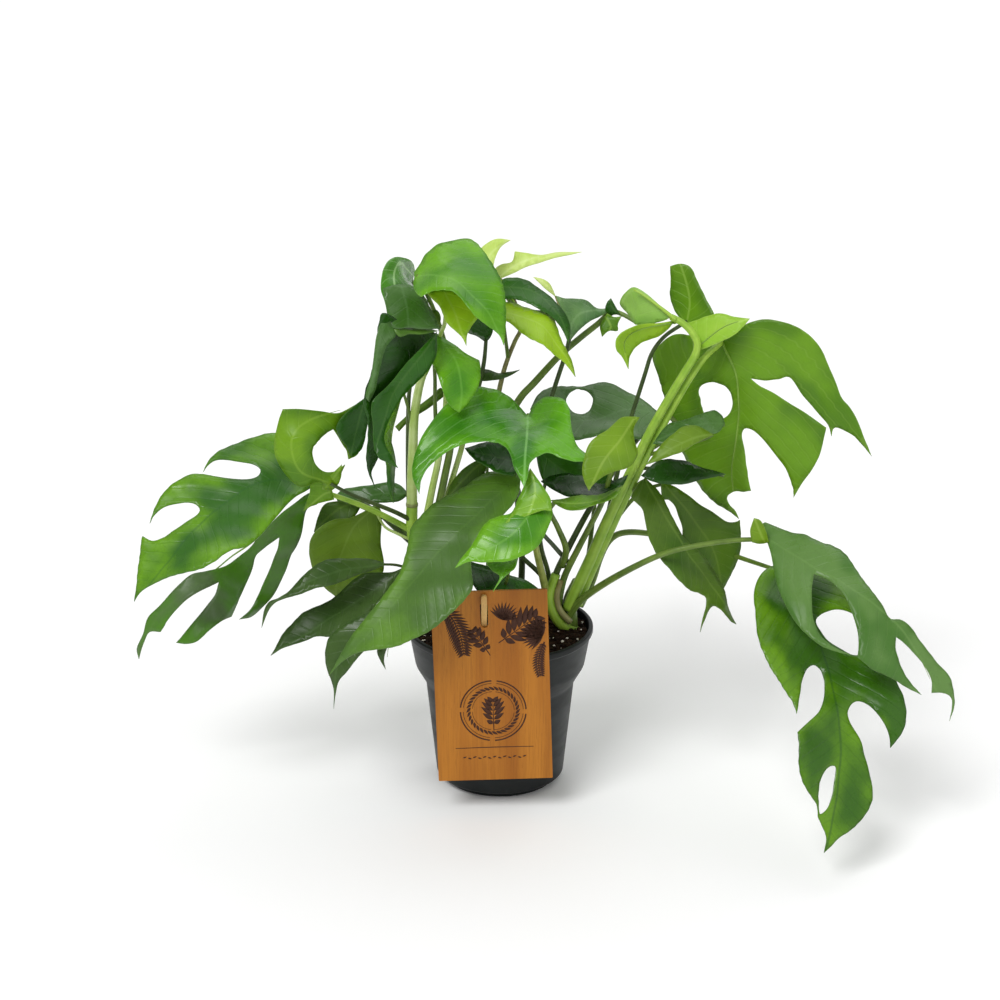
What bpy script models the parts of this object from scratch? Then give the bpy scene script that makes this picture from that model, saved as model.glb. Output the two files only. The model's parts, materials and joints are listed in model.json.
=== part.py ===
"""A mini monstera in its nursery pot, with a wooden label board that rests against the rim.

The plant has three leafy stems that stand in the soil. Every leaf blade is one thin curved solid, whose
outline, cuts and holes are drawn as a viewer in front sees them and lifted to a bent sheet. Sizes and places
elsewhere are in millimetres and become metres when a mesh is made. The pot's axis is the Z axis, the pot
stands on z = 0, and the side that faces a viewer is -Y.
"""
import math

import bmesh
import bpy
import numpy as np
from mathutils import Matrix, Vector
from mathutils.geometry import delaunay_2d_cdt

MM = 0.001

# The leaves are drawn as a viewer sees them from this distance and pitch, in a picture 1000 places wide.
VIEW_PITCH = 19.7
VIEW_DISTANCE = 1800.0
VIEW_TARGET = np.array([0.0, 0.0, 194.0])
FOCAL = 2790.7
PICTURE_MIDDLE = 500.0

# Pot
POT_TOP = 108.0
RIM_RADIUS = 61.0
LIP_DROP = 5.0
BAND_TOP_RADIUS = 59.4
BAND_DROP = 26.0
BAND_RADIUS = 55.6
STEP_DROP = 38.0
BODY_TOP_RADIUS = 48.8
BODY_FOOT_RADIUS = 42.0
FOOT_HEIGHT = 4.0
FOOT_RADIUS = 36.5
FOOT_INNER_RADIUS = 27.0
HUB_RADIUS = 12.0
POT_WALL = 1.2
POT_FLOOR = 6.0
POT_SEGMENTS = 36
DRAIN_HOLES = 8
DRAIN_RADIUS = 3.5
DRAIN_RING = 33.5

# Soil
SOIL_TOP = 102.5
SOIL_MOUND = 4.0
SOIL_LUMP = 1.5
SOIL_RINGS = 5
SOIL_SEGMENTS = 28
FIT = 0.3

# Leaves and stalks
BLADE_THICKNESS = 0.8
EDGE_STEP = 9.0
GRID_SHARE = 1.45
CURVE_STEPS = 8
SHEET_SCALE = 100.0
SHEET_SLACK = 0.01
FOLD_REACH = 9.0
STALK_GAP = 0.35
STALK_SIDES = 6
STALK_BENDS = 2
STALK_TIP_RADIUS = 1.1
TRUNK_SIDES = 10
TRUNK_BENDS = 2
TRUNK_DEPTH = 30.0

# Label
BOARD_WIDTH = 73.5
BOARD_HEIGHT = 132.0
BOARD_THICKNESS = 1.8
BOARD_CENTRE_X = -4.9
BOARD_CENTRE_Z = 90.5
BOARD_TURN = math.radians(-1.9)
BOARD_LEAN = math.radians(1.5)
SLOT_WIDTH = 4.8
SLOT_HEIGHT = 17.5
STAKE_X = -10.0
STAKE_WIDTH = 3.6
STAKE_THICKNESS = 1.8
STAKE_LENGTH = 100.0
STAKE_TILT = math.radians(15.5)
STAKE_CROSSING_Z = 140.0
STAKE_PROUD = 15.5

LEAF_COLOUR = (0.10, 0.30, 0.04, 1.0)
YOUNG_COLOUR = (0.38, 0.56, 0.10, 1.0)
STEM_COLOUR = (0.27, 0.42, 0.10, 1.0)
POT_COLOUR = (0.028, 0.033, 0.032, 1.0)
SOIL_COLOUR = (0.030, 0.017, 0.010, 1.0)
WOOD_COLOUR = (0.45, 0.17, 0.035, 1.0)
PEG_COLOUR = (0.60, 0.40, 0.20, 1.0)


def leaf(rib, sides, edge, holes=(), fold=1.2, stalk_side=-1, colour=LEAF_COLOUR):
    """One blade, with what differs from a plain one named. A stalk side of 1 is the viewer's side."""
    return {
        "rib": rib,
        "sides": sides,
        "edge": edge,
        "holes": holes,
        "fold": fold,
        "stalk_side": stalk_side,
        "colour": colour,
    }


# Leaves drawn as the viewer sees them. `rib` is the midrib from the stalk to the tip and `sides` hold two or
# more other places, all as (x, y, depth). `edge` goes once round the blade, and a third 1 marks a corner.
LEAVES = {
    "leaf_left_upper": leaf(
        rib=[(312, 487, -8), (262, 482, -26), (205, 520, -50), (135, 602, -75)],
        sides=[(215, 565, -88), (235, 446, -4), (160, 500, -38)],
        edge=[
            (312, 487, 1), (300, 465), (288, 443), (276, 434), (255, 438), (234, 445), (218, 453),
            (208, 463), (203, 474, 1), (211, 464), (223, 461), (240, 463), (253, 466), (260, 472),
            (256, 478), (244, 480), (225, 479), (203, 476, 1), (192, 476), (178, 482), (165, 492),
            (156, 506), (150, 524, 1), (156, 514), (166, 507), (180, 504), (192, 504), (199, 508),
            (199, 514), (190, 521), (178, 529), (165, 538), (154, 542), (144, 537, 1), (141, 555),
            (138, 578), (135, 602, 1), (141, 592), (151, 585), (166, 579), (186, 574), (204, 569),
            (217, 562), (230, 553), (246, 548), (261, 535), (276, 518), (290, 502),
        ],
    ),
    "leaf_left_lower": leaf(
        rib=[(326, 492, 18), (266, 533, 14), (214, 571, 4), (160, 615, -8), (138, 659, -14)],
        sides=[(225, 620, -22), (250, 600, 30), (178, 643, -30)],
        edge=[
            (326, 492, 1), (308, 493), (290, 505), (272, 522), (258, 538), (245, 552), (228, 565),
            (206, 571), (190, 575), (174, 590), (160, 606), (149, 618), (143, 634), (137, 648),
            (139, 659, 1), (144, 642), (149, 632), (160, 632, 1), (168, 620), (182, 604), (200, 592),
            (219, 582, 1), (213, 597), (205, 609), (195, 622), (178, 643, 1), (188, 644), (198, 641),
            (210, 630), (222, 621), (231, 617, 1), (236, 602), (244, 583), (252, 566), (256, 554),
            (266, 544), (279, 536, 1), (275, 554), (266, 575), (258, 594), (250, 609), (238, 620, 1),
            (250, 618), (262, 608), (274, 594), (284, 573), (292, 553), (300, 537), (304, 520),
            (308, 508), (318, 503),
        ],
    ),
    "leaf_left_curled": leaf(
        rib=[(331, 484, -44), (300, 470, -54), (292, 440, -56), (310, 420, -48), (364, 404, -28)],
        sides=[(278, 440, -50), (348, 450, -34), (322, 462, -52)],
        edge=[
            (283, 409, 1), (300, 409), (320, 411), (338, 413), (352, 406), (364, 398, 1), (367, 415),
            (364, 432), (361, 446), (355, 455), (347, 459, 1), (345, 450), (339, 440), (332, 429, 1),
            (323, 435), (315, 443), (312, 452), (315, 463), (323, 471), (333, 471), (343, 464, 1),
            (339, 475), (331, 485, 1), (318, 483), (305, 486), (296, 484), (287, 475), (279, 463),
            (275, 448), (276, 434), (279, 420),
        ],
    ),
    "leaf_left_hanging": leaf(
        rib=[(433, 339, -20), (408, 352, -40), (386, 400, -54), (374, 487, -62)],
        sides=[(376, 350, -56), (415, 378, -40), (366, 440, -64)],
        edge=[
            (437, 334, 1), (433, 345), (427, 357), (418, 370), (408, 382), (396, 396), (388, 410),
            (383, 425), (380, 440), (379, 455), (375, 464), (371, 473), (374, 488, 1), (368, 472),
            (365, 456), (367, 440), (366, 420), (363, 405), (365, 390), (370, 375), (374, 360),
            (375, 340), (377, 325), (382, 313), (390, 316), (402, 325), (418, 328), (430, 331),
        ],
    ),
    "leaf_left_strip": leaf(
        rib=[(404, 392, -8), (394, 425, -20), (391, 465, -26), (393, 503, -30)],
        sides=[(384, 440, -26), (398, 455, -17)],
        edge=[
            (404, 390, 1), (399, 405), (394, 420), (391, 435), (393, 450), (396, 464), (395, 480),
            (393, 503, 1), (388, 490), (386, 476), (384, 462), (380, 450), (380, 438), (384, 424),
            (390, 410), (397, 398),
        ],
    ),
    "leaf_top_dome": leaf(
        rib=[(412, 276, 36), (399, 262, 8), (394, 285, -22), (408, 326, -30)],
        sides=[(424, 305, -14), (383, 285, -12), (390, 310, -26)],
        edge=[
            (397, 257), (406, 259), (412, 265), (414, 274), (412, 284), (416, 293), (424, 300),
            (430, 312), (437, 330, 1), (424, 327), (410, 326), (399, 326), (390, 322), (386, 312),
            (384, 301), (381, 291), (381, 280), (384, 268), (389, 260),
        ],
    ),
    "leaf_top_heart": leaf(
        rib=[(417, 275, -24), (455, 281, -52), (486, 310, -66), (503, 346, -74)],
        sides=[(455, 243, -10), (440, 291, -62), (503, 290, -44)],
        edge=[
            (414, 272, 1), (421, 264), (429, 255), (439, 247), (451, 242), (463, 240), (473, 243),
            (481, 250), (488, 260), (494, 270), (499, 280), (503, 292), (505, 306), (505, 322),
            (503, 346, 1), (499, 336), (493, 330), (485, 325), (475, 317), (463, 303), (454, 294),
            (443, 291), (432, 292), (421, 297), (414, 288),
        ],
    ),
    "leaf_under_heart": leaf(
        rib=[(446, 296, -34), (456, 315, -40), (466, 346, -46)],
        sides=[(482, 311, -32), (430, 296, -38)],
        edge=[
            (426, 293, 1), (433, 300), (440, 307), (443, 315), (447, 323), (455, 330), (462, 337),
            (466, 346, 1), (467, 335), (472, 325), (478, 317), (483, 310), (477, 302), (465, 296),
            (452, 291), (438, 290),
        ],
    ),
    "leaf_young_spear": leaf(
        rib=[(499, 277, 30), (520, 263, 34), (545, 255, 35), (581, 252, 35)],
        sides=[(516, 252, 38), (536, 265, 30)],
        edge=[
            (499, 279, 1), (495, 270), (501, 265), (512, 262), (515, 252, 1), (525, 253), (542, 255),
            (560, 252), (582, 252, 1), (565, 256), (545, 261), (528, 266), (514, 273),
        ],
        colour=YOUNG_COLOUR,
    ),
    "leaf_young_tip": leaf(
        rib=[(494, 270, 18), (490, 255, 22), (511, 239, 25)],
        sides=[(482, 247, 24), (497, 256, 20)],
        edge=[
            (493, 270, 1), (485, 259), (480, 251), (486, 244), (497, 239), (511, 240, 1), (501, 247),
            (496, 257),
        ],
        colour=YOUNG_COLOUR,
    ),
    "leaf_dark_arch": leaf(
        rib=[(500, 287, 19), (530, 290, 10), (558, 315, 0), (569, 343, -8)],
        sides=[(540, 291, 16), (532, 305, 0)],
        edge=[
            (500, 282, 1), (508, 279), (518, 279), (528, 282), (538, 289), (548, 295), (557, 303),
            (565, 314), (570, 328), (569, 343, 1), (564, 333), (557, 323), (549, 316), (538, 311),
            (528, 304), (517, 300), (500, 299, 1),
        ],
    ),
    "leaf_yellow_arch": leaf(
        rib=[(503, 313, 0), (540, 325, -12), (563, 352, -18), (574, 376, -22)],
        sides=[(552, 320, 0), (535, 340, -25)],
        edge=[
            (502, 304, 1), (512, 303), (522, 307), (533, 311), (543, 313), (551, 317), (556, 326),
            (561, 338), (567, 351), (572, 363), (575, 377, 1), (568, 368), (561, 360), (551, 353),
            (541, 346), (529, 339), (518, 331), (508, 323), (502, 321, 1),
        ],
    ),
    "leaf_blue_back": leaf(
        rib=[(610, 311, 45), (590, 311, 32), (575, 318, 20), (569, 341, 8)],
        sides=[(560, 299, 20), (585, 301, 42)],
        edge=[
            (554, 297, 1), (564, 299), (575, 299), (586, 302), (597, 309), (612, 309, 1), (601, 316),
            (589, 322), (578, 331), (569, 342, 1), (570, 330), (566, 317), (559, 306),
        ],
    ),
    "leaf_bud": leaf(
        rib=[(556, 296, 30), (546, 286, 30), (534, 277, 30)],
        sides=[(543, 290, 28), (549, 283, 32)],
        edge=[(556, 297, 1), (552, 289), (548, 283), (541, 279), (533, 277, 1), (539, 283), (546, 290)],
        colour=YOUNG_COLOUR,
    ),
    "leaf_new_blue": leaf(
        rib=[(669, 317, -20), (652, 301, -15), (634, 290, -8), (621, 303, 0)],
        sides=[(642, 324, -14), (630, 314, -4)],
        edge=[
            (670, 317, 1), (666, 320), (655, 323), (645, 325), (637, 324), (630, 316), (622, 309),
            (619, 304), (621, 298), (626, 292), (633, 287), (641, 290), (651, 297), (661, 306),
        ],
    ),
    "leaf_new_light": leaf(
        rib=[(698, 347, -22), (720, 329, -25), (750, 319, -27)],
        sides=[(700, 321, -16), (722, 341, -31)],
        edge=[
            (700, 350, 1), (693, 337), (684, 326), (697, 321), (711, 316), (722, 314), (734, 317),
            (750, 319, 1), (743, 328), (735, 335), (722, 341), (711, 346),
        ],
        stalk_side=1,
        colour=YOUNG_COLOUR,
    ),
    "leaf_new_curled": leaf(
        rib=[(674, 322, -18), (645, 328, -28), (624, 342, -34), (628, 368, -38)],
        sides=[(645, 338, -26), (630, 329, -40)],
        edge=[
            (674, 320, 1), (660, 323), (645, 324), (632, 328), (622, 333), (616, 341), (616, 350),
            (622, 358), (628, 369, 1), (629, 358), (633, 350), (638, 344), (646, 340), (657, 336),
            (668, 329),
        ],
        stalk_side=1,
    ),
    "leaf_upright": leaf(
        rib=[(687, 321, 2), (690, 298, 6), (681, 265, 12)],
        sides=[(672, 300, 12), (706, 300, 0)],
        edge=[
            (671, 266, 1), (677, 264), (684, 264), (691, 268), (696, 278), (702, 290), (708, 302),
            (715, 315), (706, 322), (696, 325), (684, 324, 1), (679, 317), (675, 310), (671, 296),
            (672, 282),
        ],
    ),
    "leaf_right_big": leaf(
        rib=[(722, 342, -8), (737, 375, -14), (738, 425, -10), (732, 480, -2), (739, 519, 4)],
        sides=[(660, 360, 26), (690, 460, 18), (830, 380, -24), (800, 470, -20), (870, 450, -40)],
        edge=[
            (722, 341, 1), (735, 332), (748, 323), (765, 319), (782, 321), (798, 327), (812, 337),
            (822, 350), (828, 364), (836, 382), (842, 397), (851, 408), (859, 424), (866, 441),
            (872, 456, 1), (861, 443), (852, 434), (836, 427), (832, 436, 1), (829, 424), (817, 411),
            (803, 395), (790, 377), (778, 379), (765, 380), (751, 378, 1), (761, 386), (776, 394),
            (795, 406), (812, 417), (827, 427, 1), (824, 440), (820, 455), (812, 470), (803, 482),
            (794, 497, 1), (793, 486), (788, 470), (779, 458), (768, 444), (757, 432), (750, 428),
            (744, 429), (742, 437), (745, 450), (747, 465), (749, 480), (752, 489, 1), (744, 491),
            (734, 492), (727, 497), (729, 504), (735, 511), (739, 519, 1), (727, 509), (715, 501),
            (704, 488), (694, 472), (686, 456), (680, 440), (674, 420), (667, 398), (660, 376),
            (654, 356), (661, 344), (676, 334), (700, 336),
        ],
        holes=[
            [
                (700, 389), (706, 383), (716, 382), (727, 387), (732, 396), (732, 407), (727, 416),
                (716, 420), (706, 411), (702, 400),
            ],
        ],
        stalk_side=1,
    ),
    "leaf_centre_split": leaf(
        rib=[(528, 414, -14), (527, 436, -52), (525, 460, -74), (524, 486, -88)],
        sides=[(585, 452, -62), (430, 440, -48), (480, 395, -18), (552, 402, -22), (418, 488, -66)],
        edge=[
            (528, 416, 1), (516, 404), (504, 395), (491, 390), (477, 388), (465, 392), (455, 399),
            (445, 408), (436, 418), (428, 429), (421, 441), (416, 454), (413, 468), (414, 481),
            (420, 495, 1), (421, 484), (426, 472), (436, 461), (450, 451), (465, 446), (480, 443),
            (495, 443), (506, 448), (511, 457), (514, 468), (519, 477), (524, 487, 1), (528, 475),
            (530, 463), (538, 457), (550, 454), (561, 459), (577, 463), (599, 463, 1), (587, 456),
            (578, 447), (573, 436), (571, 423), (570, 411), (565, 402), (556, 398), (547, 398),
            (539, 402), (533, 408),
        ],
    ),
    "leaf_front_olive": leaf(
        rib=[(516, 479, -22), (476, 515, -46), (430, 562, -64), (380, 620, -78), (330, 676, -86)],
        sides=[(412, 530, -44), (466, 592, -88), (345, 640, -78)],
        edge=[
            (521, 477, 1), (510, 473), (498, 473), (487, 474), (477, 479), (466, 487), (453, 495),
            (440, 502), (430, 508), (420, 517), (412, 527), (409, 540), (407, 553), (402, 568),
            (394, 582), (385, 595), (375, 608), (364, 622), (352, 635), (343, 650), (336, 662),
            (329, 676, 1), (338, 665), (347, 658), (358, 653), (371, 651), (386, 649), (400, 646),
            (413, 640), (426, 634), (439, 625), (451, 614), (463, 602), (472, 592), (474, 585),
            (472, 572), (472, 558), (478, 542), (490, 528), (503, 516), (513, 505), (519, 492),
        ],
    ),
    "leaf_front_small": leaf(
        rib=[(527, 480, -56), (534, 505, -84), (512, 535, -96), (484, 552, -100), (455, 567, -104)],
        sides=[(548, 525, -88), (487, 522, -86)],
        edge=[
            (527, 478, 1), (533, 488), (543, 500), (551, 510), (551, 518), (547, 530), (540, 544),
            (530, 553), (519, 558), (507, 562), (494, 562), (481, 562), (469, 561), (455, 568, 1),
            (462, 557), (471, 547), (478, 537), (482, 529), (489, 521), (500, 517), (511, 514),
            (517, 504), (522, 491),
        ],
    ),
    "leaf_front_lobe": leaf(
        rib=[(512, 556, -80), (506, 568, -92), (493, 592, -104)],
        sides=[(517, 566, -92), (492, 566, -88)],
        edge=[
            (484, 558, 1), (500, 556), (519, 556, 1), (516, 568), (509, 574), (503, 579), (493, 592, 1),
            (500, 577), (493, 572), (488, 566),
        ],
    ),
    "leaf_front_dark": leaf(
        rib=[(470, 566, -20), (500, 576, -28), (541, 590, -34)],
        sides=[(490, 588, -36), (500, 569, -22)],
        edge=[
            (466, 560, 1), (480, 564), (496, 570), (511, 576), (526, 581), (541, 590, 1), (525, 597),
            (505, 600), (485, 597), (472, 584),
        ],
    ),
    "leaf_dark_hole": leaf(
        rib=[(660, 416, 48), (628, 410, 44), (590, 420, 32), (545, 424, 24)],
        sides=[(600, 385, 62), (600, 438, 14)],
        edge=[
            (662, 415, 1), (651, 408), (639, 399), (627, 393), (613, 386), (600, 384), (586, 387),
            (571, 388), (556, 388), (545, 391), (536, 398), (530, 410, 1), (542, 424), (556, 436),
            (570, 441), (584, 440), (598, 437), (614, 437), (630, 441), (642, 440), (652, 430),
        ],
        holes=[
            [
                (566, 402), (569, 395), (577, 391), (586, 393), (592, 399), (592, 406), (588, 412),
                (579, 415), (571, 412),
            ],
        ],
    ),
    "leaf_yellow_right": leaf(
        rib=[(633, 420, -50), (620, 440, -64), (603, 462, -72), (589, 491, -78)],
        sides=[(634, 455, -64), (586, 450, -68)],
        edge=[
            (640, 417, 1), (634, 428), (634, 442), (637, 454), (632, 464), (624, 469), (612, 472),
            (601, 478), (593, 485), (589, 491, 1), (584, 481), (582, 470), (584, 459), (588, 446),
            (596, 437), (606, 431), (614, 424), (622, 418),
        ],
    ),
    "leaf_light_right": leaf(
        rib=[(713, 434, -54), (690, 440, -62), (668, 451, -68), (647, 464, -72)],
        sides=[(683, 428, -56), (683, 453, -70)],
        edge=[
            (714, 435, 1), (705, 430), (695, 427), (683, 428), (674, 434), (665, 441), (657, 450),
            (646, 464, 1), (659, 460), (671, 456), (683, 452), (693, 445), (703, 440),
        ],
    ),
    "leaf_dark_spear": leaf(
        rib=[(724, 475, -34), (695, 473, -40), (668, 471, -46), (643, 475, -50)],
        sides=[(684, 484, -48), (684, 463, -34)],
        edge=[
            (725, 475, 1), (711, 470), (699, 467), (688, 463), (677, 461), (665, 460), (655, 463),
            (641, 476, 1), (650, 481), (660, 484), (672, 485), (685, 484), (697, 481), (711, 478),
        ],
    ),
    "leaf_dark_lobe": leaf(
        rib=[(725, 424, -32), (702, 424, -38), (678, 432, -42), (655, 442, -46)],
        sides=[(697, 434, -46), (700, 412, -28)],
        edge=[
            (725, 424, 1), (722, 416), (714, 411), (706, 413), (697, 417), (684, 421), (670, 424),
            (660, 434), (653, 444, 1), (665, 445), (678, 442), (692, 436), (706, 435), (718, 433),
        ],
    ),
    "leaf_lower_split": leaf(
        rib=[(646, 480, -26), (662, 512, -34), (692, 558, -40), (718, 596, -44), (737, 623, -46)],
        sides=[(650, 545, -48), (710, 566, -28)],
        edge=[
            (646, 477, 1), (638, 484), (632, 492), (630, 499), (637, 504), (643, 511), (645, 522),
            (647, 533), (651, 545), (657, 556), (665, 566), (672, 575), (680, 584), (690, 591),
            (700, 594), (706, 598), (706, 606), (703, 615), (698, 633, 1), (703, 622), (708, 612),
            (713, 606), (719, 609), (725, 615), (731, 621), (737, 624, 1), (732, 615), (727, 605),
            (724, 595), (719, 583), (711, 568), (701, 554), (690, 543), (681, 534), (673, 520),
            (667, 508), (662, 498), (655, 487),
        ],
    ),
    "leaf_lower_round": leaf(
        rib=[(664, 484, -6), (690, 515, -8), (714, 552, -12), (722, 592, -16)],
        sides=[(740, 545, -6), (690, 545, -20)],
        edge=[
            (660, 483, 1), (672, 485), (682, 491), (691, 498), (701, 506), (711, 512), (719, 518),
            (727, 522), (735, 522), (739, 520, 1), (740, 535), (740, 549), (737, 561), (733, 570),
            (728, 580), (722, 592, 1), (713, 580), (704, 564), (694, 551), (683, 539), (682, 528),
            (678, 515), (674, 505), (668, 500), (661, 499),
        ],
    ),
    "leaf_right_upper": leaf(
        rib=[(767, 539, -46), (812, 566, -72), (856, 592, -88), (905, 634, -104), (950, 718, -118)],
        sides=[(795, 610, -96), (885, 665, -118), (840, 551, -60)],
        edge=[
            (766, 539, 1), (763, 530), (764, 523), (776, 527), (790, 532), (806, 536), (820, 543),
            (835, 549), (845, 555), (854, 567), (863, 580), (873, 593), (883, 606), (890, 618),
            (900, 620), (911, 628), (920, 641), (930, 654), (940, 666), (948, 676), (952, 690),
            (954, 706), (950, 721, 1), (952, 707), (950, 697), (942, 693), (932, 693, 1), (932, 681),
            (926, 669), (916, 656), (906, 645), (896, 637, 1), (895, 650), (899, 664), (905, 676),
            (912, 686), (921, 695, 1), (908, 689), (896, 681), (884, 675), (871, 669), (857, 658, 1),
            (858, 645), (857, 631), (852, 614), (846, 600), (837, 588), (826, 578), (814, 573, 1),
            (812, 588), (812, 605), (814, 622), (822, 638), (836, 649), (852, 656, 1), (835, 652),
            (820, 646), (806, 635), (795, 622), (785, 605), (778, 588), (774, 570), (771, 555),
        ],
    ),
    "leaf_right_lower": leaf(
        rib=[
            (773, 568, -44), (805, 610, -74), (828, 670, -100), (840, 735, -128), (836, 800, -150),
            (825, 852, -166),
        ],
        sides=[(760, 640, -104), (890, 700, -112), (800, 750, -146), (866, 790, -140)],
        edge=[
            (773, 566, 1), (764, 571), (757, 581), (753, 597), (755, 614), (757, 634), (761, 650),
            (768, 665), (776, 679), (785, 691), (792, 702), (796, 714, 1), (798, 702), (800, 688),
            (803, 676), (808, 668), (815, 665), (821, 671), (824, 684), (823, 699), (818, 712),
            (808, 722), (796, 733, 1), (797, 747), (798, 765), (801, 780), (808, 793), (815, 805),
            (817, 816), (822, 826), (826, 838), (824, 853, 1), (831, 846), (838, 838), (850, 830),
            (861, 819), (869, 806), (872, 793), (869, 775), (864, 756), (860, 742), (854, 730),
            (849, 720), (848, 711), (853, 703), (861, 702), (870, 707), (878, 716), (885, 726),
            (889, 736), (890, 748, 1), (898, 738), (904, 727), (906, 712), (903, 698), (896, 682),
            (889, 664), (880, 640), (866, 612), (846, 588), (822, 572), (796, 564),
        ],
        holes=[
            [
                (836, 768), (831, 766), (825, 770), (820, 778), (817, 792), (817, 806), (819, 814),
                (826, 809), (831, 797), (834, 783),
            ],
            [
                (816, 622), (822, 614), (834, 611), (848, 613), (859, 621), (866, 636), (863, 652),
                (852, 656), (838, 649), (825, 638),
            ],
        ],
    ),
    "leaf_left_round": leaf(
        rib=[(374, 507, 8), (352, 530, 2), (338, 565, 0), (336, 598, 2)],
        sides=[(382, 555, 6), (311, 548, -8)],
        edge=[
            (376, 504, 1), (381, 511), (381, 525), (380, 541), (383, 558), (382, 572), (370, 582),
            (353, 591), (337, 598, 1), (325, 588), (315, 575), (310, 561), (309, 548), (312, 535),
            (320, 526), (334, 519), (350, 518), (363, 512),
        ],
    ),
    "leaf_left_under": leaf(
        rib=[(362, 502, 21), (340, 508, 20), (315, 530, 19)],
        sides=[(325, 505, 22), (340, 520, 17)],
        edge=[
            (364, 500, 1), (352, 500), (338, 501), (325, 504), (319, 515), (314, 532, 1), (326, 530),
            (342, 526), (355, 516),
        ],
    ),
    "leaf_left_spear": leaf(
        rib=[(384, 564, -15), (345, 570, -26), (305, 584, -36), (276, 600, -44), (262, 627, -48)],
        sides=[(320, 589, -42), (335, 559, -22)],
        edge=[
            (386, 564, 1), (376, 560), (361, 558), (346, 559), (331, 560), (319, 564), (309, 571),
            (298, 581), (287, 592), (278, 598), (269, 602), (264, 612), (262, 628, 1), (268, 612),
            (275, 603), (286, 598), (300, 594), (315, 589), (330, 586), (346, 580), (361, 574),
            (375, 569),
        ],
    ),
    "leaf_low_spear": leaf(
        rib=[(402, 569, -5), (360, 600, -16), (315, 628, -26), (271, 655, -32)],
        sides=[(345, 632, -34), (350, 583, -8)],
        edge=[
            (404, 567, 1), (393, 572), (380, 573), (367, 574), (357, 578), (348, 585), (339, 594),
            (329, 601), (317, 607), (304, 614), (293, 624), (283, 635), (271, 656, 1), (281, 649),
            (292, 645), (304, 641), (316, 636), (330, 637), (345, 632), (358, 625), (368, 616),
            (378, 603), (389, 588),
        ],
    ),
    "leaf_low_fold": leaf(
        rib=[(396, 600, -45), (360, 628, -56), (338, 665, -62), (334, 709, -68)],
        sides=[(370, 640, -62), (328, 645, -54)],
        edge=[
            (400, 598, 1), (380, 606), (360, 616), (343, 626), (331, 637), (326, 652), (327, 667),
            (331, 680), (334, 692), (334, 709, 1), (336, 693), (339, 681), (347, 672), (357, 659),
            (372, 642), (388, 622),
        ],
    ),
    "leaf_low_small": leaf(
        rib=[(404, 612, -60), (390, 640, -68), (386, 669, -74)],
        sides=[(397, 645, -68), (380, 640, -66)],
        edge=[
            (406, 610, 1), (394, 622), (383, 636), (377, 650), (380, 660), (386, 670, 1), (384, 659),
            (388, 646), (397, 630),
        ],
    ),
    "leaf_mid_bright": leaf(
        rib=[(441, 341, -10), (456, 362, -24), (462, 388, -36), (459, 412, -42)],
        sides=[(479, 370, -22), (440, 378, -34)],
        edge=[
            (437, 335, 1), (447, 341), (456, 347), (466, 355), (479, 361, 1), (480, 373), (478, 386),
            (470, 400), (459, 413, 1), (449, 405), (442, 390), (436, 372), (430, 357), (432, 344),
        ],
    ),
    "leaf_back_spear": leaf(
        rib=[(480, 373, 15), (496, 374, 16), (520, 370, 15)],
        sides=[(498, 368, 18), (498, 379, 12)],
        edge=[
            (479, 368, 1), (489, 370), (499, 374), (508, 373), (520, 370, 1), (509, 377), (499, 380),
            (482, 381, 1),
        ],
    ),
    "leaf_small_dark": leaf(
        rib=[(486, 339, 15), (482, 330, 10), (480, 316, 4)],
        sides=[(471, 328, 12), (493, 328, 8)],
        edge=[
            (486, 342, 1), (476, 335), (468, 331), (472, 322), (478, 314), (487, 318), (493, 328),
            (491, 336),
        ],
    ),
    "leaf_behind_a": leaf(
        rib=[(514, 462, -20), (495, 457, -26), (468, 450, -34)],
        sides=[(490, 445, -18), (500, 472, -38)],
        edge=[
            (465, 448, 1), (480, 445), (495, 443), (507, 450), (512, 458), (517, 470), (512, 478, 1),
            (497, 473), (485, 465), (474, 459),
        ],
    ),
    "leaf_behind_b": leaf(
        rib=[(487, 459, -12), (467, 475, -16), (447, 500, -20)],
        sides=[(480, 482, -20), (456, 475, -12)],
        edge=[
            (488, 456, 1), (478, 460), (467, 466), (457, 475), (450, 486), (446, 502, 1), (457, 497),
            (469, 491), (479, 482), (486, 470),
        ],
    ),
    "leaf_blue_low": leaf(
        rib=[(545, 483, -18), (575, 487, -24), (600, 490, -28), (626, 477, -32)],
        sides=[(575, 476, -14), (585, 499, -38)],
        edge=[
            (541, 482, 1), (552, 477), (568, 475), (584, 477), (600, 484), (614, 481), (628, 475, 1),
            (621, 488), (607, 495), (591, 500), (575, 500), (559, 493),
        ],
    ),
    "leaf_edge_green": leaf(
        rib=[(554, 502, -46), (590, 503, -56), (622, 488, -64)],
        sides=[(590, 497, -50), (580, 510, -64)],
        edge=[
            (623, 486, 1), (610, 491), (595, 495), (580, 497), (565, 499), (551, 501, 1), (563, 508),
            (578, 511), (592, 508), (606, 503), (617, 497),
        ],
    ),
    "leaf_left_back": leaf(
        rib=[(406, 494, 32), (378, 494, 33), (345, 508, 33)],
        sides=[(378, 483, 38), (378, 504, 27)],
        edge=[
            (409, 494, 1), (400, 485), (388, 482), (372, 485), (356, 488), (342, 491), (337, 499),
            (344, 510, 1), (360, 507), (374, 504), (388, 503), (400, 501),
        ],
    ),
    "leaf_back_left": leaf(
        rib=[(494, 438, 36), (482, 424, 70), (468, 412, 105), (452, 404, 140)],
        sides=[(452, 426, 80), (502, 414, 100)],
        edge=[
            (496, 440, 1), (482, 441), (466, 440), (452, 434), (444, 424), (442, 413), (448, 402, 1),
            (462, 398), (478, 397), (494, 401), (505, 410), (509, 421), (505, 432),
        ],
    ),
    "leaf_back_middle": leaf(
        rib=[(600, 436, 60), (620, 420, 105), (649, 410, 150)],
        sides=[(606, 404, 115), (640, 432, 90)],
        edge=[
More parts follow.
